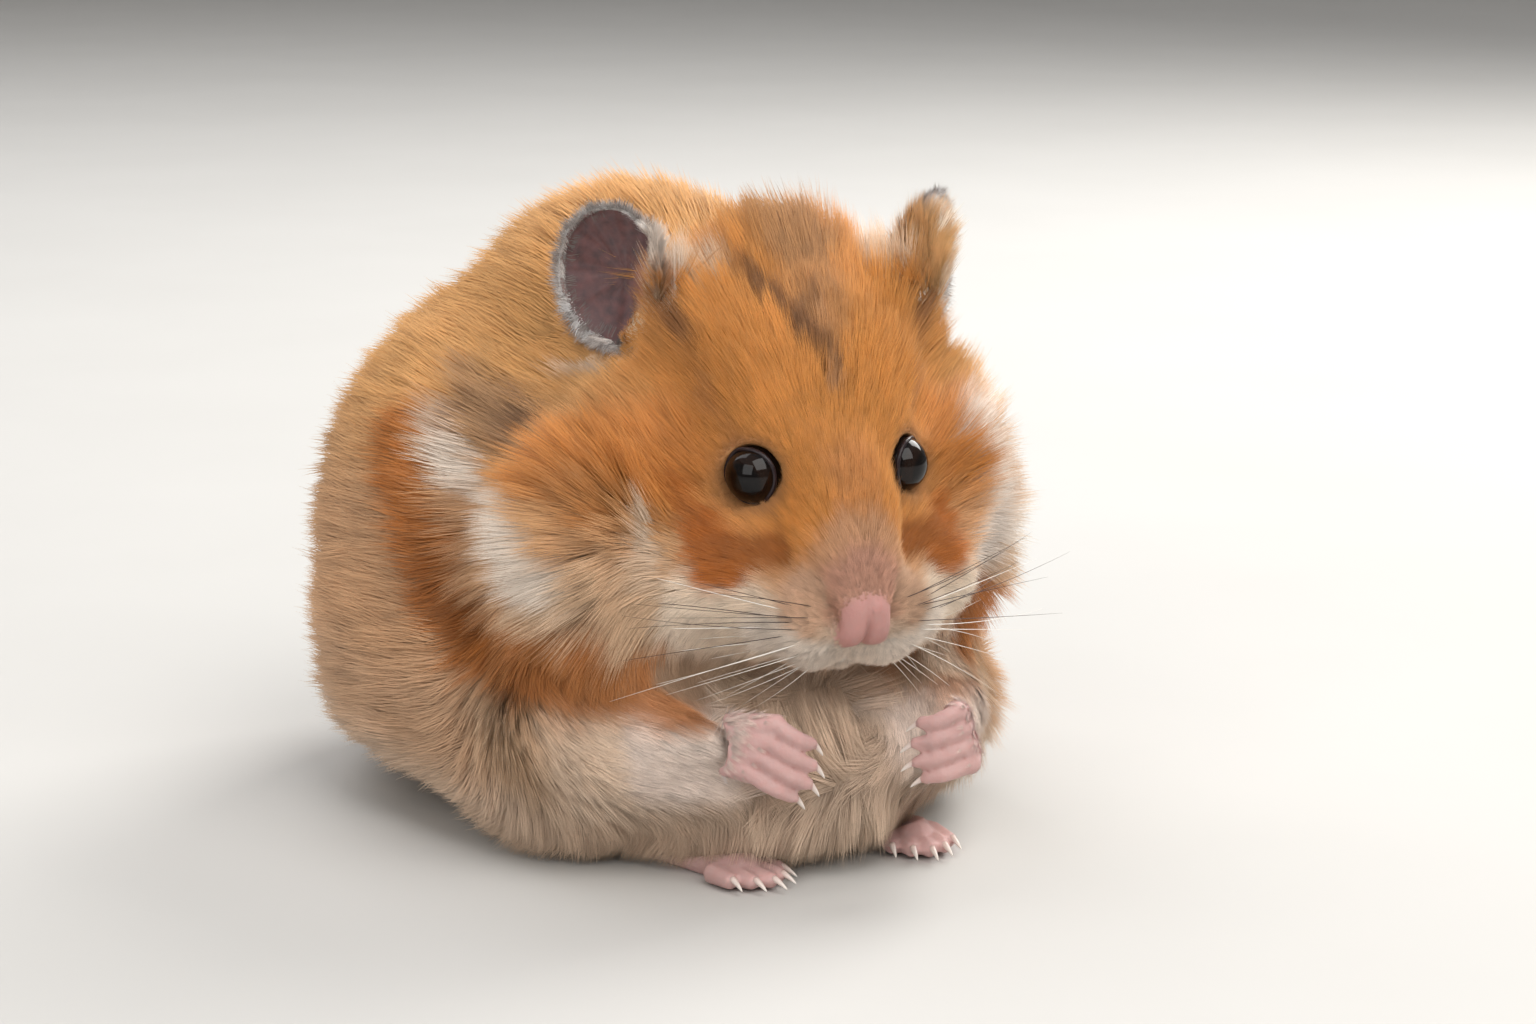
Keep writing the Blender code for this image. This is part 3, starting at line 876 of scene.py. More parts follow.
# Paints, in linear light.
ORANGE = (0.65, 0.275, 0.068)
CHEEK_ORANGE = (0.56, 0.215, 0.050)
DEEP_ORANGE = (0.45, 0.140, 0.026)
RUST = (0.46, 0.155, 0.032)
BACK_ORANGE = (0.65, 0.345, 0.128)
FLANK = (0.60, 0.352, 0.195)
LOW_FLANK = (0.56, 0.355, 0.222)
BROWN = (0.170, 0.090, 0.050)
DUSK = (0.34, 0.210, 0.130)
WHITE = (0.82, 0.710, 0.610)
CREAM = (0.72, 0.560, 0.420)
WARM_CREAM = (0.64, 0.440, 0.285)
BELLY = (0.64, 0.480, 0.360)
PEACH = (0.62, 0.350, 0.200)
PAD = (0.58, 0.370, 0.250)
PINK = (0.53, 0.360, 0.340)
NOSE_PINK = (0.45, 0.250, 0.225)
SILVER = (0.74, 0.590, 0.530)
RING = (0.30, 0.160, 0.085)

# Marks on the body in world millimetres, left side; the right side mirrors them. Each is a
# soft stroke along a path: its radius, paint and strength, painted in this order.
BODY_MARKS = (
    (((36, 20, 12), (36, -14, 9)), 13, LOW_FLANK, 0.85),
    (((36, 25, 2), (28, -32, 2), (0, -44, 4)), 11, BELLY, 0.9),
    (((0, -40, 14), (0, -44, 22)), 18, BELLY, 0.9),
    (((35, 2, 51), (37.2, -3.2, 42), (36.5, -8, 33), (35.5, -13.5, 26.5)), 4.4, RUST, 0.95),
    (((35.5, -14, 27), (34, -23.6, 26.4), (31.4, -31.5, 26.8), (26, -36.5, 26.8)),
     4.2, RUST, 0.95),
    (((36.6, -7.5, 34), (36, -12, 28.5)), 3.0, (0.29, 0.095, 0.022), 0.85),
    (((32, -4.5, 52), (32.8, -8.5, 47.6)), 2.6, (0.60, 0.430, 0.320), 0.9),
    (((32.6, -9, 47.4), (32.7, -13.8, 43.6), (33, -20.8, 41.6)), 3.3, WHITE, 1.0),
    (((33.4, -22.5, 40.6), (34, -27, 38), (33, -32, 35.4)), 3.8, WHITE, 1.0),
    (((34, -26, 32), (31, -33.5, 32)), 3.0, WARM_CREAM, 0.9),
    (((27.5, -8, 54), (26, -14.5, 51)), 4.2, DUSK, 0.6),
    (((25.6, -13.6, 52),), 2.5, BROWN, 0.9),
    (((27, -3, 57),), 2.2, DUSK, 0.6),
    (((22, -11.1, 59), (17.9, -16, 58.9), (16.2, -22, 58.8)), 1.7, WHITE, 0.85),
)
# Marks that are not the same on both sides, in world millimetres.
SINGLE_MARKS = (
    (((27.5, -34, 50), (29, -35, 42), (27, -38, 34), (21.5, -37, 29)),
     4.6, (0.84, 0.740, 0.660), 0.95),
    (((20, -38, 28), (17, -41.5, 24)), 4.0, (0.80, 0.600, 0.450), 0.9),
    (((23, -20, 62), (28, -26, 56)), 4.0, (0.78, 0.620, 0.460), 0.75),
)
# Thin dark lines on the crown, measured with the height squashed so that they follow it.
CROWN_LINES = (
    (((-3.9, -27, 73.8), (-3.7, -29.6, 71.3), (-2.3, -34.9, 67.9), (-1.2, -37.9, 65.8),
      (0.2, -40.5, 63.5)),
     1.15, (0.15, 0.065, 0.030), 0.85),
    (((3.6, -33.6, 71.4), (1.7, -34.9, 69.2), (-0.1, -36.4, 67.5), (-1.2, -37.9, 65.8)),
     0.95, (0.17, 0.080, 0.038), 0.75),
)
CROWN_SQUASH = np.array((1.0, 1.0, 0.35))
# Marks on the head in its own frame, left side, mirrored on the right.
HEAD_MARKS = (
    (((0, 16, 6), (0, 2, 3)), 19, ORANGE, 1.0),
    (((33, 8, 1), (21, 5, 1)), 8.0, CHEEK_ORANGE, 0.95),
    (((31, -1, -1.5),), 4.0, (0.44, 0.185, 0.055), 0.9),
    (((29.5, -9.5, -9), (23.5, -10, -11), (24, -10.5, -14)), 4.6, WARM_CREAM, 1.0),
    # Painted shadow: a darker band under the cheek and chin.
    (((19, -10.5, -21.5), (12, -11, -22)), 3.4, (0.46, 0.340, 0.240), 0.8),
    (((23.6, -2.9, -0.6), (23, -6.0, -3.3)), 2.0, CREAM, 1.0),
    (((23, -6.0, -3.3), (22.4, -9.0, -7.5)), 3.1, CREAM, 1.0),
    (((18.5, -9.4, -11), (14.2, -10.2, -11.2), (11.6, -14, -11.4)), 4.0, (0.80, 0.650, 0.510), 1.0),
    (((18, -9.6, -15), (13, -11.5, -15.5), (11, -15, -14)), 3.8, (0.80, 0.670, 0.540), 1.0),
    (((0, -6, 5), (0, -13, 0.5)), 3.6, (0.58, 0.250, 0.085), 0.7),
    (((1.5, -13.5, -0.5), (3.5, -14.5, -4.5)), 4.2, PEACH, 0.9),
    (((0, -16.4, -3.0), (2.4, -16.8, -4.6)), 4.4, (0.58, 0.315, 0.230), 0.9),
    (((6.4, -13.6, -6.6), (7.6, -15.8, -9)), 2.8, PAD, 0.9),
    (((10.8, -14.8, -12.2), (7.4, -18, -13.5), (3.4, -18, -14.2), (0, -16, -16)), 2.9, WHITE, 1.0),
    (((4, -15.5, -18.5), (0, -14, -19.5)), 3.5, WHITE, 0.9),
    (((18.9, 0.2, -0.9), (18.2, -3.4, -4.0), (16.8, -5.8, -6.6)), 2.8, DEEP_ORANGE, 1.0),
    (((16, -2.7, -4.9), (15.2, -7.2, -7.8)), 3.1, DEEP_ORANGE, 1.0),
    (((15.3, -5.6, -6.1), (11.2, -7.4, -5.4), (8.4, -8.3, -4.8)), 2.2, (0.37, 0.120, 0.026), 0.95),
    (((13.4, -8.2, -8.3),), 2.0, DEEP_ORANGE, 1.0),
    (((9.2, 0, 0),), 5.0, RING, 0.65),
    (((12.8, 1.5, 4.2), (14.4, 7.5, 5.8), (16.6, 12, 9.4)), 2.2, (0.36, 0.160, 0.065), 0.6),
    (((16.4, 13.5, 11.4), (17.6, 19, 12.5)), 2.2, (0.23, 0.100, 0.045), 0.8),
    (((0, 32, 20), (0, 21, 19.8)), 5.0, (0.40, 0.225, 0.110), 0.6),
    (((0, 21, 19.8), (0, 12, 17.4), (0, 8, 16)), 3.4, (0.44, 0.230, 0.105), 0.55),
    (((0, 11, 17), (0, 1.5, 11.4)), 0.9, (0.42, 0.240, 0.140), 0.6),
    (((16, 22.5, 16.6), (10.5, 23, 16.6)), 2.8, CREAM, 0.9),
)


def stroke(points, path, radius):
    """1 along a path, fading out round its radius."""
    if len(path) == 1:
        return near(points, path[0], (radius,) * 3, 0.65, 1.3)
    parts = [along_limb(points, *ends, radius, 0.65, 1.3)[0] for ends in zip(path, path[1:])]
    return np.maximum.reduce(parts)


def painted(tint, places, marks, squash=1.0):
    """The tint with each mark's paint laid on along its path."""
    for path, radius, paint, strength in marks:
        line = [np.array(place) * squash for place in path]
        tint = mixed(tint, paint, strength * stroke(places * squash, line, radius))
    return tint


def ripple(points, size, seed):
    """A smooth wandering value of about -1 to 1 at every point."""
    rng = np.random.default_rng(seed)
    total = np.zeros(len(points))
    for _ in range(6):
        wave = rng.normal(0.0, 1.0, 3) / size
        total += np.sin(points @ wave + rng.uniform(0.0, 6.283))
    return total / 3.0


def wandering(points, amount, size, seed):
    """Points moved about a little, so that the marks' edges are irregular."""
    moves = np.stack([ripple(points, size, seed + axis) for axis in range(3)], axis=1)
    return points + amount * moves


def arm_marks(points, tint, elbow, middle, wrist):
    """Rusty along the top of the forearm, cream below, and a little pink towards the wrist."""
    lower, share = along_limb(points, elbow, middle, 10.5)
    cream = mixed(WARM_CREAM, (0.86, 0.680, 0.530), smooth(share, 0.0, 0.6))
    tint = mixed(tint, cream, 0.95 * lower * (1.0 - smooth(points[:, 2], 19.0, 24.0)))
    last, end = along_limb(points, middle, wrist, 8.0)
    tint = mixed(tint, (0.90, 0.760, 0.670), last * smooth(end, 0.0, 0.3))
    above = smooth(points[:, 2] + 1.0 * ripple(points, 3.0, 9), 17.5, 22.5)
    top_middle = middle + (0.0, 0.0, 4.0)
    top, _ = along_limb(points, elbow + (0.0, 0.0, 5.0), top_middle, 8.5)
    tip_end = middle + 0.7 * (wrist - middle) + (0.0, 0.0, 4.0)
    tip, _ = along_limb(points, top_middle, tip_end, 5.0)
    return mixed(tint, (0.46, 0.180, 0.055), 0.95 * np.maximum(top, tip) * above)


def markings(points):
    """The coat's colour, and how dark its hair tips are, at every point of its surface."""
    body = wandering(beside(points), 1.0, 7.0, 11)
    face = wandering(beside(to_head(points)), 0.5, 4.0, 21)
    single = wandering(points, 0.4, 4.0, 41)
    height = points[:, 2] + 2.0 * ripple(points, 9.0, 5)
    tint = mixed(FLANK, BACK_ORANGE, smooth(height, 36.0, 58.0))
    rusty = 0.35 * smooth(ripple(points, 12.0, 6), 0.1, 1.0) * smooth(height, 30.0, 50.0)
    tint = painted(mixed(tint, RUST, rusty), body, BODY_MARKS)
    for _, elbow, middle, wrist in ARMS.values():
        tint = arm_marks(points, tint, elbow, middle, wrist)
    tint = painted(tint, face, HEAD_MARKS)
    tint = painted(tint, single, SINGLE_MARKS)
    tint = painted(tint, single, CROWN_LINES, CROWN_SQUASH)
    dark = np.maximum.reduce((
        0.4 * near(points, (0, 15, 76), (34, 60, 22), 0.5, 1.2),
        0.6 * stroke(face, ((0, 30, 20), (0, 14, 17.6)), 4.4),
        0.3 * near(body, (40, 10, 40), (14, 50, 26), 0.5, 1.2),
        0.6 * stroke(body, ((27.5, -8, 54), (25, -15, 51.5)), 6.0),
        0.04 + 0.10 * smooth(points[:, 2], 18.0, 34.0),
    ))
    return tint * (1.0 + 0.08 * ripple(points, 3.5, 61))[:, None], dark


def dress(mesh, tint, bare=1.0, lid=0.0, crease=0.0, ticking=0.0):
    """A skin's own colour, and how bare, lid-like and dark-haired it is, and how much painted shade
    darkens it in creases.
    """
    count = len(mesh.vertices)
    put(mesh, "tint", np.ones((count, 3)) * tint)
    for name, value in (("bare", bare), ("lid", lid), ("crease", crease), ("ticking", ticking)):
        put(mesh, name, np.ones(count) * value)


# ---------------------------------------------------------------- materials

# Painted light on a hair's underside: seen from below, its colour is made paler by this gamma, to
# stand for the light that comes through real hair.
UNDERSIDE_PAINTED_LIGHT_GAMMA = 0.25
PALE_TIP = (0.88, 0.68, 0.45, 1)
DARK_TIP = (0.090, 0.045, 0.024, 1)


def new_material(name, roughness, **settings):
    """A material, its tree and its shader."""
    made = bpy.data.materials.new(name)
    made.use_nodes = True
    shader = made.node_tree.nodes["Principled BSDF"]
    shader.inputs["Roughness"].default_value = roughness
    for key, value in settings.items():
        shader.inputs[key.replace("_", " ")].default_value = value
    return made, made.node_tree, shader


def value_of(tree, name, output="Fac"):
    return node(tree, "ShaderNodeAttribute", attribute_name=name).outputs[output]


def object_place(tree):
    return node(tree, "ShaderNodeTexCoord").outputs["Object"]


def noise(tree, place, scale, detail=2.0):
    inputs = {"Vector": place, "Scale": scale, "Detail": detail}
    return node(tree, "ShaderNodeTexNoise", inputs).outputs["Fac"]


def mix_colour(tree, share, first, second):
    inputs = {0: share, 6: first, 7: second}
    return node(tree, "ShaderNodeMix", inputs, data_type="RGBA").outputs[2]


def ranged(tree, value, from_low, from_high, to_low, to_high, kind="LINEAR"):
    inputs = {
        "Value": value,
        "From Min": from_low,
        "From Max": from_high,
        "To Min": to_low,
        "To Max": to_high,
    }
    return node(tree, "ShaderNodeMapRange", inputs, interpolation_type=kind).outputs["Result"]


def fur_colour_group():
    """Turns the markings into fur: uneven, darkened towards the root by painted shade, paler at the
    tips, with some dark-tipped hairs.
    """
    inputs = {
        "Place": "Vector",
        "Tint": "Color",
        "Ticking": "Float",
        "Along": "Float",
        "Tone": "Float",
        "Root Shade": "Float",
        "Unevenness": "Float",
    }
    tree, given = new_group("Fur Colour", "ShaderNodeTree", inputs, ("Color", "Color"))
    place, along = given["Place"], given["Along"]
    swing = calc(tree, "SUBTRACT", noise(tree, place, 90.0, 3.0), 0.5)
    swing = calc(tree, "MULTIPLY", swing, given["Unevenness"])
    tone = calc(tree, "MULTIPLY_ADD", given["Tone"], 0.40, 0.80)
    # Painted shade: the colour darkens towards the root, deep in the coat, down to the Root Shade
    # share.
    depth = ranged(tree, along, 0.0, 0.65, given["Root Shade"], 1.0, "SMOOTHSTEP")
    level = calc(tree, "MULTIPLY", calc(tree, "ADD", tone, swing), depth)
    pale = ranged(tree, along, 0.7, 1.0, 0.0, 0.09)
    coloured = mix_colour(tree, pale, scaled(tree, given["Tint"], level), PALE_TIP)
    chosen = ranged(tree, noise(tree, place, 1300.0), 0.48, 0.60, 0.0, 1.0)
    tips = ranged(tree, along, 0.5, 0.85, 0.0, 1.0)
    share = calc(tree, "MULTIPLY", calc(tree, "MULTIPLY", chosen, tips), given["Ticking"])
    node(tree, "NodeGroupOutput", {"Color": mix_colour(tree, share, coloured, DARK_TIP)})
    return tree


def fur_of(tree, fur_colour, place, tint, **values):
    """The fur's colour, from where it is taken, its markings and the group's other inputs."""
    inputs = {"Place": place, "Tint": value_of(tree, tint, "Color")}
    inputs.update((name.replace("_", " "), value) for name, value in values.items())
    return node(tree, "ShaderNodeGroup", inputs, node_tree=fur_colour).outputs["Color"]


def coat_material(fur_colour):
    """Hair: soft, matt, coloured by the markings at its root, with painted light paling its
    underside.
    """
    made, tree, shader = new_material("coat", 0.62, Specular_IOR_Level=0.22)
    colour = fur_of(
        tree,
        fur_colour,
        value_of(tree, "root", "Vector"),
        "hair_tint",
        Ticking=value_of(tree, "ticking"),
        Along=value_of(tree, "along"),
        Tone=value_of(tree, "tone"),
        Root_Shade=0.72,
        Unevenness=0.24,
    )
    # Painted light: a hair seen from its underside takes a paler colour, standing for light that
    # comes through real hair.
    under = node(tree, "ShaderNodeNewGeometry").outputs["Backfacing"]
    painted_through_light = node(tree, "ShaderNodeGamma", {"Color": colour, "Gamma": UNDERSIDE_PAINTED_LIGHT_GAMMA}).outputs[0]
    tree.links.new(mix_colour(tree, under, colour, painted_through_light), shader.inputs["Base Color"])
    return made


def skin_material(fur_colour):
    """Skin under the coat, with the same markings darkened by painted shade, and bare skin on nose,
    lids, ears and paws.
    """
    made, tree, shader = new_material(
        "skin",
        0.55,
        Specular_IOR_Level=0.3,
        Subsurface_Weight=0.12,
        Subsurface_Radius=(1.0, 0.35, 0.25),
        Subsurface_Scale=0.0012,
    )
    place = object_place(tree)
    # The skin under the coat is coloured as the fur a third of the way out from the root, so
    # painted shade darkens it.
    fur = fur_of(
        tree,
        fur_colour,
        place,
        "tint",
        Ticking=0.0,
        Along=0.35,
        Tone=0.5,
        Root_Shade=0.66,
        Unevenness=0.30,
    )
    bare, lid, tint = value_of(tree, "bare"), value_of(tree, "lid"), value_of(tree, "tint", "Color")
    flush = mix_colour(tree, noise(tree, place, 900.0, 3.0), tint, (0.60, 0.22, 0.20, 1))
    flesh = mix_colour(tree, 0.35, tint, flush)
    # Painted shade: the creases of the bare skin are darkened to a deep red.
    flesh = mix_colour(tree, value_of(tree, "crease"), flesh, (0.34, 0.075, 0.06, 1))
    colour = mix_colour(tree, bare, fur, flesh)
    colour = mix_colour(tree, lid, colour, (0.020, 0.012, 0.014, 1))
    tree.links.new(colour, shader.inputs["Base Color"])
    rough = calc(tree, "MULTIPLY_ADD", bare, -0.12, 0.62)
    rough = calc(tree, "MULTIPLY_ADD", lid, -0.22, rough)
    tree.links.new(rough, shader.inputs["Roughness"])
    grain = noise(tree, place, 2600.0)
    bump = node(tree, "ShaderNodeBump", {"Height": grain, "Strength": 0.35, "Distance": 0.00015})
    tree.links.new(bump.outputs[0], shader.inputs["Normal"])
    return made


def named(name):
    return lambda tree: value_of(tree, name)


def mottle(scale, detail=2.0):
    """A noise that stays with the object."""
    return lambda tree: noise(tree, object_place(tree), scale, detail)


def two_coloured(name, roughness, share, first, second, tip=None, **settings):
    """A material of two colours, mixed by a share that is made in its own tree, and perhaps a
    third towards the tip."""
    made, tree, shader = new_material(name, roughness, **settings)
    colour = mix_colour(tree, share(tree), (*first, 1), (*second, 1))
    if tip:
        colour = mix_colour(tree, value_of(tree, "along"), colour, (*tip, 1))
    tree.links.new(colour, shader.inputs["Base Color"])
    return made


def packed_material(name, colour):
    """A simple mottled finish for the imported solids, which stay out of sight."""
    pale = (min(1.0, 1.25 * level) for level in colour)
    return two_coloured(name, 0.8, mottle(300.0), colour, pale)


# ---------------------------------------------------------------- paws, tail, ears and lids

def paw_skin(name):
    """A bare paw or the tail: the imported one, smoothed, without its claws, on its wrist."""
    bm = welded((name,))
    if name.startswith("forepaw"):
        _, _, middle, wrist = ARMS[name.split("_")[-1]]
        add_chain(bm, wrist, Vector(wrist).lerp(Vector(middle), 0.7), 2.7, 3.2)
    if name == "tail":
        add_chain(bm, (0, 50, 9), (0, 40, 12), 2.6, 4.6)
    mesh = fused(bm, "skin_" + name, PAW_VOXEL, 4)
    points, edges = read_points(mesh), read_edges(mesh)
    normals = read_normals(mesh)
    hollow = ((evened(points, edges, 10) - points) * normals).sum(axis=1)
    points = points - normals * np.clip(1.6 * (hollow - 0.03), 0.0, 0.4)[:, None]
    write_points(mesh, evened(points, edges, 1))
    points = read_points(mesh)
    low, high = (np.array(corner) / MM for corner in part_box(name))
    if name == "tail":
        ahead = unit(np.array((0.0, 1.0, -0.35)))
    else:
        tips = np.mean([np.array(tip) for tip, _ in claw_tips(name)], axis=0)
        ahead = unit(tips - (low + high) / 2)
    # How far along the paw each point is, from -1 at its back to 1 at its front.
    reach = points @ ahead
    reach = (reach - (low + high) / 2 @ ahead) / (0.5 * np.abs(ahead) @ (high - low))
    flush = 1.0 + 0.07 * ripple(points, 1.2, 31)[:, None]
    tint = mixed(np.array(PINK) * flush, (0.68, 0.450, 0.430), 0.5 * smooth(reach, 0.3, 1.0))
    # The paw's hollows take painted shade in their creases.
    dress(mesh, tint, crease=smooth(hollow, 0.05, 0.2))
    wristward = 1.0 - smooth(reach, -1.0, 0.15)
    length = 0.8 + 1.8 * wristward
    give_coat(
        mesh,
        up=unit(evened(read_normals(mesh), edges, 6)),
        lie=np.ones((len(points), 1)) * ahead,
        lift=np.full(len(points), math.radians(16.0)),
        length=length,
        spread=0.10 + 0.1 * length,
        density=6.0 * wristward**2,
        hair_tint=np.ones_like(points) * SILVER,
    )
    mesh.shade_smooth()
    return mesh


def ear_sheet(name):
    """A cup of two layers of points, in the ear's own frame, from its middle out to its rim."""
    rings, spokes = 27, 72
    verts, faces = [], []
    for layer in (-1.0, 1.0):
        start = len(verts)
        for ring in range(rings):
            reach = ring / (rings - 1)
            cup = -EAR_CUP * math.sqrt(max(0.0, 1.0 - reach * reach))
            wall = EAR_WALL * (1.0 - 0.55 * reach) * math.sqrt(max(0.0, 1.0 - reach**8))
            for spoke in range(spokes):
                angle = 2 * math.pi * spoke / spokes
                along, across = reach * math.sin(angle), reach * math.cos(angle)
                taper = 1.0 - EAR_TAPER * max(0.0, -along)
                height = EAR_LENGTH * (1.0 + along) / 2
                verts.append((cup + layer * wall, across * taper * EAR_WIDTH / 2, height))
        for quad in ring_quads(start, rings, spokes):
            faces.append(quad if layer > 0 else quad[::-1])
    return built("skin_ear_" + name, verts, faces)


def ear_skin(name, side):
    """A thin cup with a rolled rim and a fold at its inner base, finely haired inside and out."""
    mesh = ear_sheet(name)
    points = read_points(mesh) * MM
    axis = points[:, 2] / EAR_LENGTH
    inward = -side * points[:, 1]
    radial = np.hypot(points[:, 1] / (EAR_WIDTH / 2), 2 * axis - 1)
    in_cup = points[:, 0] + EAR_CUP * np.sqrt(np.maximum(0, 1 - radial**2))
    hollow_side = smooth(in_cup, -0.05, 0.05)
    hollow_side = np.where(radial > 0.985, 0.5, hollow_side)
    fold = np.exp(-(((inward - 2.6) / 1.3) ** 2)) * smooth(0.60 - axis, 0.0, 0.35)
    second = np.exp(-(((inward + 0.4) / 0.9) ** 2)) * smooth(0.42 - axis, 0.0, 0.3)
    points[:, 0] += 1.5 * fold + 0.7 * second
    points[:, 0] += 0.22 * np.sin(points[:, 1] * 1.1 + 2.0) * smooth(axis, 0.3, 0.9)
    points[:, 0] -= 0.7 * smooth(radial, 0.80, 1.0) * smooth(axis, 0.35, 0.75)
    points[:, 0] += 2.2 * smooth(inward, 3.8, 6.9) * (1.0 - smooth(axis, 0.60, 0.85))
    outward = np.stack(
        (np.zeros(len(points)), points[:, 1], points[:, 2] - 0.55 * EAR_LENGTH), axis=1
    )
    place = np.array(ear_frame(name, side))
    write_points(mesh, moved(points, place))

    everywhere = np.ones((len(points), 1))
    back = mixed(everywhere * (0.50, 0.27, 0.13), (0.34, 0.30, 0.29), smooth(axis, 0.6, 0.95))
    # The hollow is dark with paler streaks that run out to the rim, and flushed low down.
    wide = radial.clip(0.1)
    streaks = (2.2 * points[:, 1] / wide, 2.2 * (points[:, 2] - 8.0) / wide, 0.25 * radial)
    uneven = 1.0 + 0.35 * ripple(np.stack(streaks, axis=1), 1.0, 73)
    front = everywhere * (0.052, 0.052, 0.058) * uneven[:, None].clip(0.4)
    flush = near(points, (0, -side * 4.2, 0.40 * EAR_LENGTH), (20, 3.2, 3.6), 0.5, 1.4)
    front = mixed(front, (0.36, 0.165, 0.135), 0.9 * flush)
    tint = mixed(back, front, hollow_side)
    # Paler towards the rim: partly the ear's pale fringe and partly painted rim light from behind.
    dress(mesh, mixed(tint, (0.36, 0.29, 0.27), 0.7 * smooth(radial, 0.95, 1.0)))
    hair = mixed(back * 1.15, everywhere * (0.24, 0.205, 0.19), hollow_side)
    # The rim's hair is near white: fine pale fringe hair, and partly painted rim light from behind.
    rim = smooth(radial, 0.975, 0.998)
    hair = mixed(hair, (0.84, 0.81, 0.79), rim)
    start, tuft_length, tuft_lift, lower_paint, upper_paint, change = EAR_TUFTS[name]
    tuft = smooth(inward, start, start + 2.2) * (1.0 - smooth(axis, 0.70, 0.95))
    tuft_paint = mixed(everywhere * lower_paint, upper_paint, smooth(axis, *change))
    hair = mixed(hair, tuft_paint, smooth(tuft, 0.1, 0.5))
    lie = unit(outward) + np.array((0.0, 0.0, 0.9))
    lie = mixed(lie, unit(outward) + np.array((0.25, 0.0, 0.0)), hollow_side * (1.0 - rim))
    lie = mixed(lie, np.array((0.2, -0.7 * side, 0.9)), tuft)
    length = mixed(2.0 + 1.4 * (1.0 - axis), 2.2 + 0.7 * (1.0 - axis), hollow_side)
    length = mixed(length, 0.5, rim)
    length = mixed(length, tuft_length, tuft)
    density = mixed(11.0 + 0.0 * axis, 1.2 * smooth(radial, 0.72, 0.95), hollow_side)
    density = mixed(density, 22.0, rim)
    density = mixed(density, 7.0, tuft)
    lift = np.radians(mixed(mixed(14.0 + 0.0 * axis, 35.0, rim), tuft_lift, tuft))
    spread = mixed(0.11 + 0.07 * length, 0.75, hollow_side * (1.0 - rim) * (1.0 - tuft))
    lie = lie @ place[:3, :3].T
    give_coat(mesh, read_normals(mesh), lie, lift, length, spread, density, hair)
    faced_out(mesh)
    mesh.shade_smooth()
    return mesh


def gaze_frame(side):
    """An eye's own axes: Z out along the gaze, X forward along the face, Y up."""
    gaze = Vector((side * EYE_GAZE[0], EYE_GAZE[1], EYE_GAZE[2])).normalized()
    forward = Vector((0.0, -1.0, -0.25))
    forward = (forward - gaze * forward.dot(gaze)).normalized()
    upward = gaze.cross(forward)
    if upward.z < 0.0:
        upward.negate()
    axes = Matrix((forward, upward, gaze)).transposed().to_4x4()
    return HEAD @ Matrix.Translation(Vector((side * EYE_OUT, 0.0, 0.0))) @ axes


def round_angle(angle, centre, width):
    """1 at an angle round the eye, in degrees, fading out on both sides of it."""
    gap = (angle - math.radians(centre) + math.pi) % (2 * math.pi) - math.pi
    return math.exp(-(gap / width) ** 2)


def lid_skin(name, side):
    """The dark rolled rims of both lids, meeting in a corner low at the front."""
    steps, around = 96, 12
    verts = []
    for step in range(steps):
        angle = 2 * math.pi * step / steps
        corner, rear = round_angle(angle, 335, 0.26), round_angle(angle, 165, 0.30)
        nasal = max(0.0, math.cos(angle)) ** 2
        polar = 78.0 - 8.0 * nasal + 10.0 * corner + 4.0 * rear + 2.0 * math.sin(angle)
        polar = math.radians(polar)
        reach = EYE_RADIUS - 0.02 + 0.42 * corner + 0.12 * rear
        middle = Vector(
            (
                reach * math.sin(polar) * math.cos(angle),
                reach * math.sin(polar) * math.sin(angle),
                reach * math.cos(polar),
            )
        )
        outward = middle.normalized()
        toward_gaze = (Vector((0, 0, 1)) - outward * outward.z).normalized()
        wide = LID_WIDTH - 0.10 * corner
        for turn in range(around):
            spin = 2 * math.pi * turn / around
            rise = outward * (LID_HEIGHT * math.cos(spin))
            verts.append(middle + rise + toward_gaze * (wide * math.sin(spin)) * 0.6)
    mesh = built("skin_lid_" + name, verts, list(ring_quads(0, steps, around, closed=True)))
    mesh.transform(Matrix.Scale(MM, 4) @ gaze_frame(side))
    faced_out(mesh)
    dress(mesh, (0.10, 0.05, 0.05), lid=1.0)
    return mesh


def joined(name, meshes):
    """Meshes in one object, with the values at their vertices kept."""
    whole = finished(opened(*meshes), name)
    whole.shade_smooth()
    return add_object(name, whole)


def unwrap(made):
    """An unwrap of the shape itself, which the coat's patches are placed on."""
    made.data.uv_layers.new(name="OFBake")
    bpy.context.view_layer.objects.active = made
    made.select_set(True)
    bpy.ops.object.mode_set(mode="EDIT")
    bpy.ops.mesh.select_all(action="SELECT")
    bpy.ops.uv.smart_project(angle_limit=math.radians(66), island_margin=0.004)
    bpy.ops.object.mode_set(mode="OBJECT")
    made.select_set(False)


# ---------------------------------------------------------------- eyes, claws and whiskers

def add_eyeball(name, side):
    """A smooth eyeball, its pole along the gaze."""
    bm = bmesh.new()
    bmesh.ops.create_uvsphere(bm, u_segments=64, v_segments=40, radius=EYE_RADIUS * MM)
    mesh = finished(bm, "eyeball_" + name)
    points = read_points(mesh)
    polar = np.degrees(np.arccos(np.clip(points[:, 2] / EYE_RADIUS, -1, 1)))
    put(mesh, "iris", smooth(polar, 38.0, 46.0) * (1.0 - smooth(polar, 62.0, 72.0)))
    place = gaze_frame(side)
    place.translation = place.translation * MM
    mesh.transform(place)
    mesh.shade_smooth()
    return add_object("eyeball_" + name, mesh)


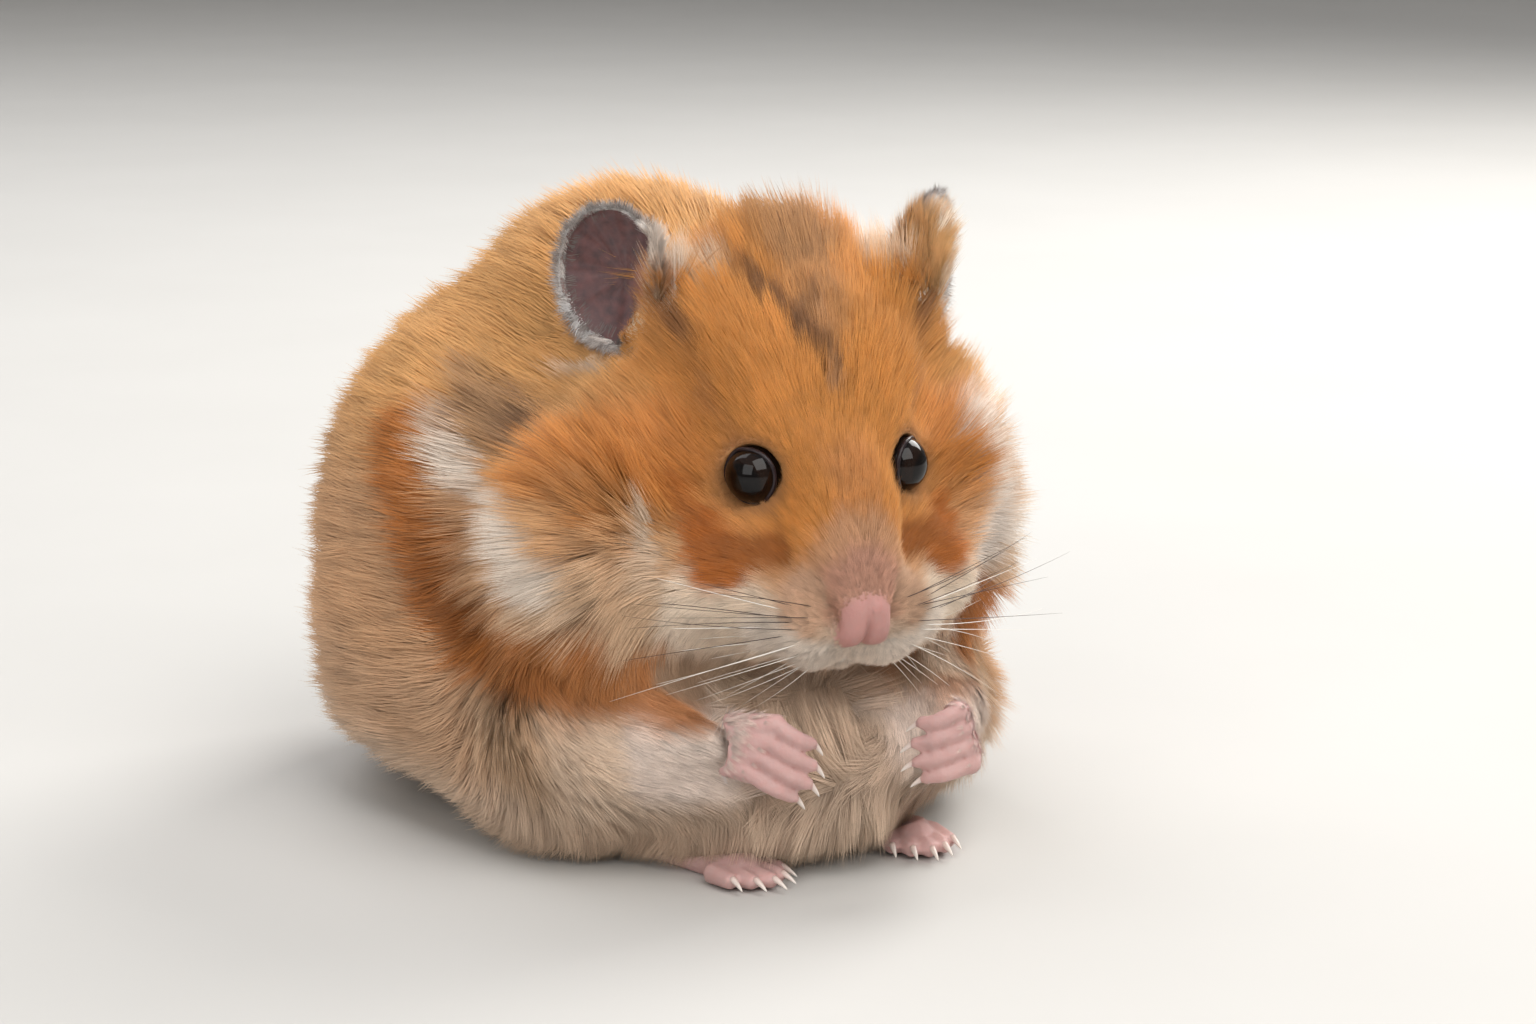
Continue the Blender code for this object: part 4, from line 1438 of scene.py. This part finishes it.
def tube(verts, faces, along, path, radii, sides):
    """A tapering tube along a path, closed at both ends, added to the lists."""
    start, count = len(verts), len(path)
    normal = Vector((0, 0, 1))
    for ring, (place, radius) in enumerate(zip(path, radii)):
        ahead = path[min(ring + 1, count - 1)] - path[max(ring - 1, 0)]
        ahead.normalize()
        normal = normal - ahead * normal.dot(ahead)
        if normal.length < 0.05:
            normal = ahead.orthogonal()
        normal.normalize()
        binormal = ahead.cross(normal)
        for turn in range(sides):
            spin = 2 * math.pi * turn / sides
            across, over = radius * math.cos(spin), radius * math.sin(spin)
            verts.append(place + normal * across + binormal * over)
            along.append(ring / (count - 1))
    faces.extend((a, d, c, b) for a, b, c, d in ring_quads(start, count, sides))
    faces.append(tuple(reversed(range(start, start + sides))))
    faces.append(tuple(range(len(verts) - sides, len(verts))))


def tube_object(name, verts, faces, values):
    mesh = built(name, [vert * MM for vert in verts], faces)
    for label, column in values.items():
        put(mesh, label, np.array(column))
    return add_object(name, mesh)


def claw_tips(name):
    """Where a packed paw's claws end, and the way they point."""
    bm = welded((name,))
    found = []
    for vert in bm.verts:
        if len(vert.link_edges) < 4:
            continue
        total = Vector()
        for edge in vert.link_edges:
            total += (edge.other_vert(vert).co - vert.co).normalized()
        total /= len(vert.link_edges)
        if total.length > 0.93:
            found.append((vert.co / MM, -total.normalized()))
    bm.free()
    return found


def add_claws(name):
    """Pale curved claws on one paw."""
    verts, faces, along = [], [], []
    for tip, direction in claw_tips(name):
        down = Vector((0, 0, -1))
        down = (down - direction * down.dot(direction)).normalized()
        path, radii = [], []
        for step in range(9):
            share = step / 8
            curve = down * (0.35 * share * share - 0.15)
            path.append(tip - direction * (CLAW_LENGTH * (1.0 - share)) + curve)
            radii.append(CLAW_RADIUS * (1.0 - share) ** 0.7 + CLAW_TIP_RADIUS)
        tube(verts, faces, along, path, radii, 8)
    return tube_object("claws_" + name, verts, faces, {"along": along})


# Rows of whiskers on a pad: how high the row is, how far out each whisker starts, how much
# the row rises, how many of it are pale, and how long they are.
WHISKER_ROWS = (
    (-5.8, (6.6, 8.2), 0.24, 0.0, 16.0),
    (-7.4, (5.8, 7.4, 9.0), 0.06, 0.1, 20.0),
    (-9.2, (6.2, 7.9, 9.6), -0.10, 0.3, 24.0),
    (-11.0, (6.4, 8.1, 9.8), -0.30, 0.7, 24.0),
    (-12.8, (6.2, 7.7, 9.2, 10.7), -0.55, 1.0, 19.0),
    (-14.6, (4.8, 6.3, 7.8, 9.3), -0.85, 1.0, 14.0),
    (-16.4, (4.2, 6.0, 7.8), -1.20, 1.0, 9.0),
)


def add_whiskers(name, side, surface):
    """Long tapering whiskers that sweep out, back and a little down."""
    rng = np.random.default_rng(7 if side > 0 else 8)
    verts, faces, along, light = [], [], [], []
    turn = HEAD.to_3x3()
    down, back = Vector((0, 0, -1)), turn @ Vector((0, 1, 0))
    for height, outs, rise, pale, row_length in WHISKER_ROWS:
        for column, from_middle in enumerate(outs):
            level = height + rng.uniform(-0.3, 0.3)
            start = Vector((side * from_middle, 0.7 * from_middle - 22.0, level))
            root, normal, _, _ = surface.find_nearest(HEAD @ start * MM)
            root = root / MM
            length = row_length * rng.uniform(0.75, 1.1) + 1.5 * column
            sweep = 0.10 + 0.20 * column + rng.uniform(-0.12, 0.12)
            out = Vector((side, sweep, rise + rng.uniform(-0.08, 0.08)))
            out = (turn @ out.normalized()).normalized()
            droop = down * rng.uniform(0.06, 0.22) + back * rng.uniform(0.1, 0.3)
            path, radii = [], []
            for step in range(15):
                share = step / 14
                reach = length * share
                path.append(root - normal * 0.3 + out * reach + droop * (reach * share) * 0.8)
                radii.append(WHISKER_RADIUS * (1.0 - share) ** 0.8 + WHISKER_TIP_RADIUS)
            before = len(verts)
            tube(verts, faces, along, path, radii, 5)
            light.extend([1.0 if rng.uniform() < pale else 0.0] * (len(verts) - before))
    return tube_object("whiskers_" + name, verts, faces, {"along": along, "pale": light})


# ---------------------------------------------------------------- making the animal

fur_colour = fur_colour_group()
coat_finish = coat_material(fur_colour)

body = body_skin()
sculpt_face(body)
coat_of_body(body)
skin_parts = [body, *(paw_skin(name) for name in PAW_NODES)]
for name, side in SIDES:
    skin_parts += [ear_skin(name, side), lid_skin(name, side)]
skin = finish_in(skin_material(fur_colour), joined("skin", skin_parts))
unwrap(skin)

density_factor = cut_into_slices(skin.data) * 1.0
locks = {
    "sleek": lock_collection("sleek", 8, strands=16, rings=1, gather=0.25, droop=0.0),
    "tufted": lock_collection("tufted", 8, strands=8, rings=2, gather=0.6, droop=1.3),
}
tree = coat_tree()
coat = []
for number, (name, kind) in enumerate(SLICES):
    values = {
        "Locks": locks[kind],
        "Slice": number,
        "Density Factor": density_factor,
        "Waywardness": 0.75,
        "Clump Scale": 230.0,
        "Floor Gap": 0.0002,
        "Patch Size": 0.003,
        "Seed": 50 + number,
        "Material": coat_finish,
    }
    coat.append(grow_coat(name, skin.data, tree, values))

# A wet black eye with a faint brown iris, pale horn, and dark whiskers above white ones.
eye_finish = two_coloured(
    "eye_black", 0.05, named("iris"), (0.003, 0.002, 0.002), (0.012, 0.006, 0.004), IOR=1.34
)
claw_finish = two_coloured(
    "claw_horn", 0.3, mottle(1500.0), (0.80, 0.66, 0.60), (0.62, 0.42, 0.38),
    tip=(0.86, 0.80, 0.74), Specular_IOR_Level=0.5,
)
whisker_finish = two_coloured(
    "whisker", 0.4, named("pale"), (0.045, 0.025, 0.018), (0.88, 0.84, 0.78), Specular_IOR_Level=0.5
)
surface = BVHTree.FromObject(skin, bpy.context.evaluated_depsgraph_get())
eyes = [finish_in(eye_finish, add_eyeball(name, side)) for name, side in SIDES]
claws = [finish_in(claw_finish, add_claws(name)) for name in PAW_NODES if name != "tail"]
whiskers = [
    finish_in(whisker_finish, add_whiskers(name, side, surface)) for name, side in SIDES
]

PACKED_PAINTS = {
    "ear": (0.3, 0.2, 0.15), "eye": (0.01, 0.01, 0.01), "forepaw": PINK, "hindfoot": PINK
}
for name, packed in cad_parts.items():
    paint = PACKED_PAINTS.get(name.split("_")[0], FLANK)
    for slot in packed.material_slots:
        slot.material = packed_material("packed_" + name, paint)

# ---------------------------------------------------------------- stage, light and camera

# Azimuth and height in degrees, distance in metres; the aim in millimetres from the eyes.
CAMERA_PLACE = (-32.0, 12.0, 0.42)
CAMERA_AIM = Vector((-9.6, -2.2, -3.7))
LIGHTS_AIM = Vector((0, 0, 0.04))
# Azimuth and height in degrees, distance and side in metres, watts and colour.
SOFTBOXES = {
    "key": (4, 48, 0.9, 0.7, 5.8, (1.0, 0.98, 0.95)),
    "fill": (-58, 28, 1.3, 0.9, 5.6, (1.0, 0.99, 0.97)),
    "rim": (108, 38, 0.9, 0.5, 7.0, (1.0, 0.98, 0.95)),
    "top": (188, 55, 1.1, 0.9, 6.0, (0.97, 0.98, 1.0)),
}
FLOOR_REACH = 1.5
FLOOR_BEND = 0.6
WALL_TOP = 2.2


def add_floor():
    """A pale round floor that sweeps up into a low wall all round."""
    profile = [(0.6, 0.0), (FLOOR_REACH, 0.0)]
    for step in range(1, 13):
        angle = math.radians(90 * step / 12)
        out = FLOOR_REACH + FLOOR_BEND * math.sin(angle)
        profile.append((out, FLOOR_BEND - FLOOR_BEND * math.cos(angle)))
    profile.append((FLOOR_REACH + FLOOR_BEND, WALL_TOP))
    sides = 96
    verts = [(0.0, 0.0, 0.0)]
    for out, height in profile:
        for side in range(sides):
            a = 2 * math.pi * side / sides
            verts.append((out * math.cos(a), out * math.sin(a), height))
    faces = [(0, side + 1, (side + 1) % sides + 1) for side in range(sides)]
    faces.extend(ring_quads(1, len(profile), sides))
    finish = two_coloured(
        "pale_floor", 0.75, mottle(14.0, 3.0), (0.55, 0.54, 0.52), (0.59, 0.58, 0.56),
        Specular_IOR_Level=0.2,
    )
    return finish_in(finish, add_object("floor", built("floor", verts, faces)))


def aimed(made, place, target):
    made.location = place
    made.rotation_euler = (place - target).to_track_quat("Z", "Y").to_euler()
    bpy.context.scene.collection.objects.link(made)
    return made


def seen_from(azimuth, height, distance, target):
    """A place at a distance from a target, at angles in degrees."""
    a, e = math.radians(azimuth), math.radians(height)
    away = Vector((math.sin(a) * math.cos(e), -math.cos(a) * math.cos(e), math.sin(e)))
    return target + away * distance


def add_softbox(name, azimuth, height, distance, size, power, colour):
    light = bpy.data.lights.new(name, "AREA")
    light.shape = "SQUARE"
    light.size = size
    light.energy = power
    light.color = colour
    place = seen_from(azimuth, height, distance, LIGHTS_AIM)
    return aimed(bpy.data.objects.new(name, light), place, LIGHTS_AIM)


aim = (EYES_MIDDLE + CAMERA_AIM) * MM
lens = bpy.data.cameras.new("camera")
lens.lens = 85.0
lens.sensor_width = 36.0
lens.clip_start = 0.01
camera = aimed(bpy.data.objects.new("camera", lens), seen_from(*CAMERA_PLACE, aim), aim)
bpy.context.scene.camera = camera

floor = add_floor()
for name, values in SOFTBOXES.items():
    add_softbox(name, *values)
world = bpy.data.worlds.new("studio")
world.use_nodes = True
background = world.node_tree.nodes["Background"].inputs
background["Color"].default_value = (0.98, 0.98, 1.0, 1.0)
background["Strength"].default_value = 0.38
bpy.context.scene.world = world
bpy.context.scene.view_settings.view_transform = "Standard"

# ---------------------------------------------------------------- handing over to the frame

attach(skin, "root")
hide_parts(*BODY_NODES, *PAW_NODES, *EAR_NODES)
for piece in coat:
    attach(piece, "root")
for piece, (name, _) in zip(eyes, SIDES):
    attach(piece, "root")
    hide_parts("eye_" + name)
for piece in claws:
    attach(piece, "root")
for piece in whiskers:
    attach(piece, "root")
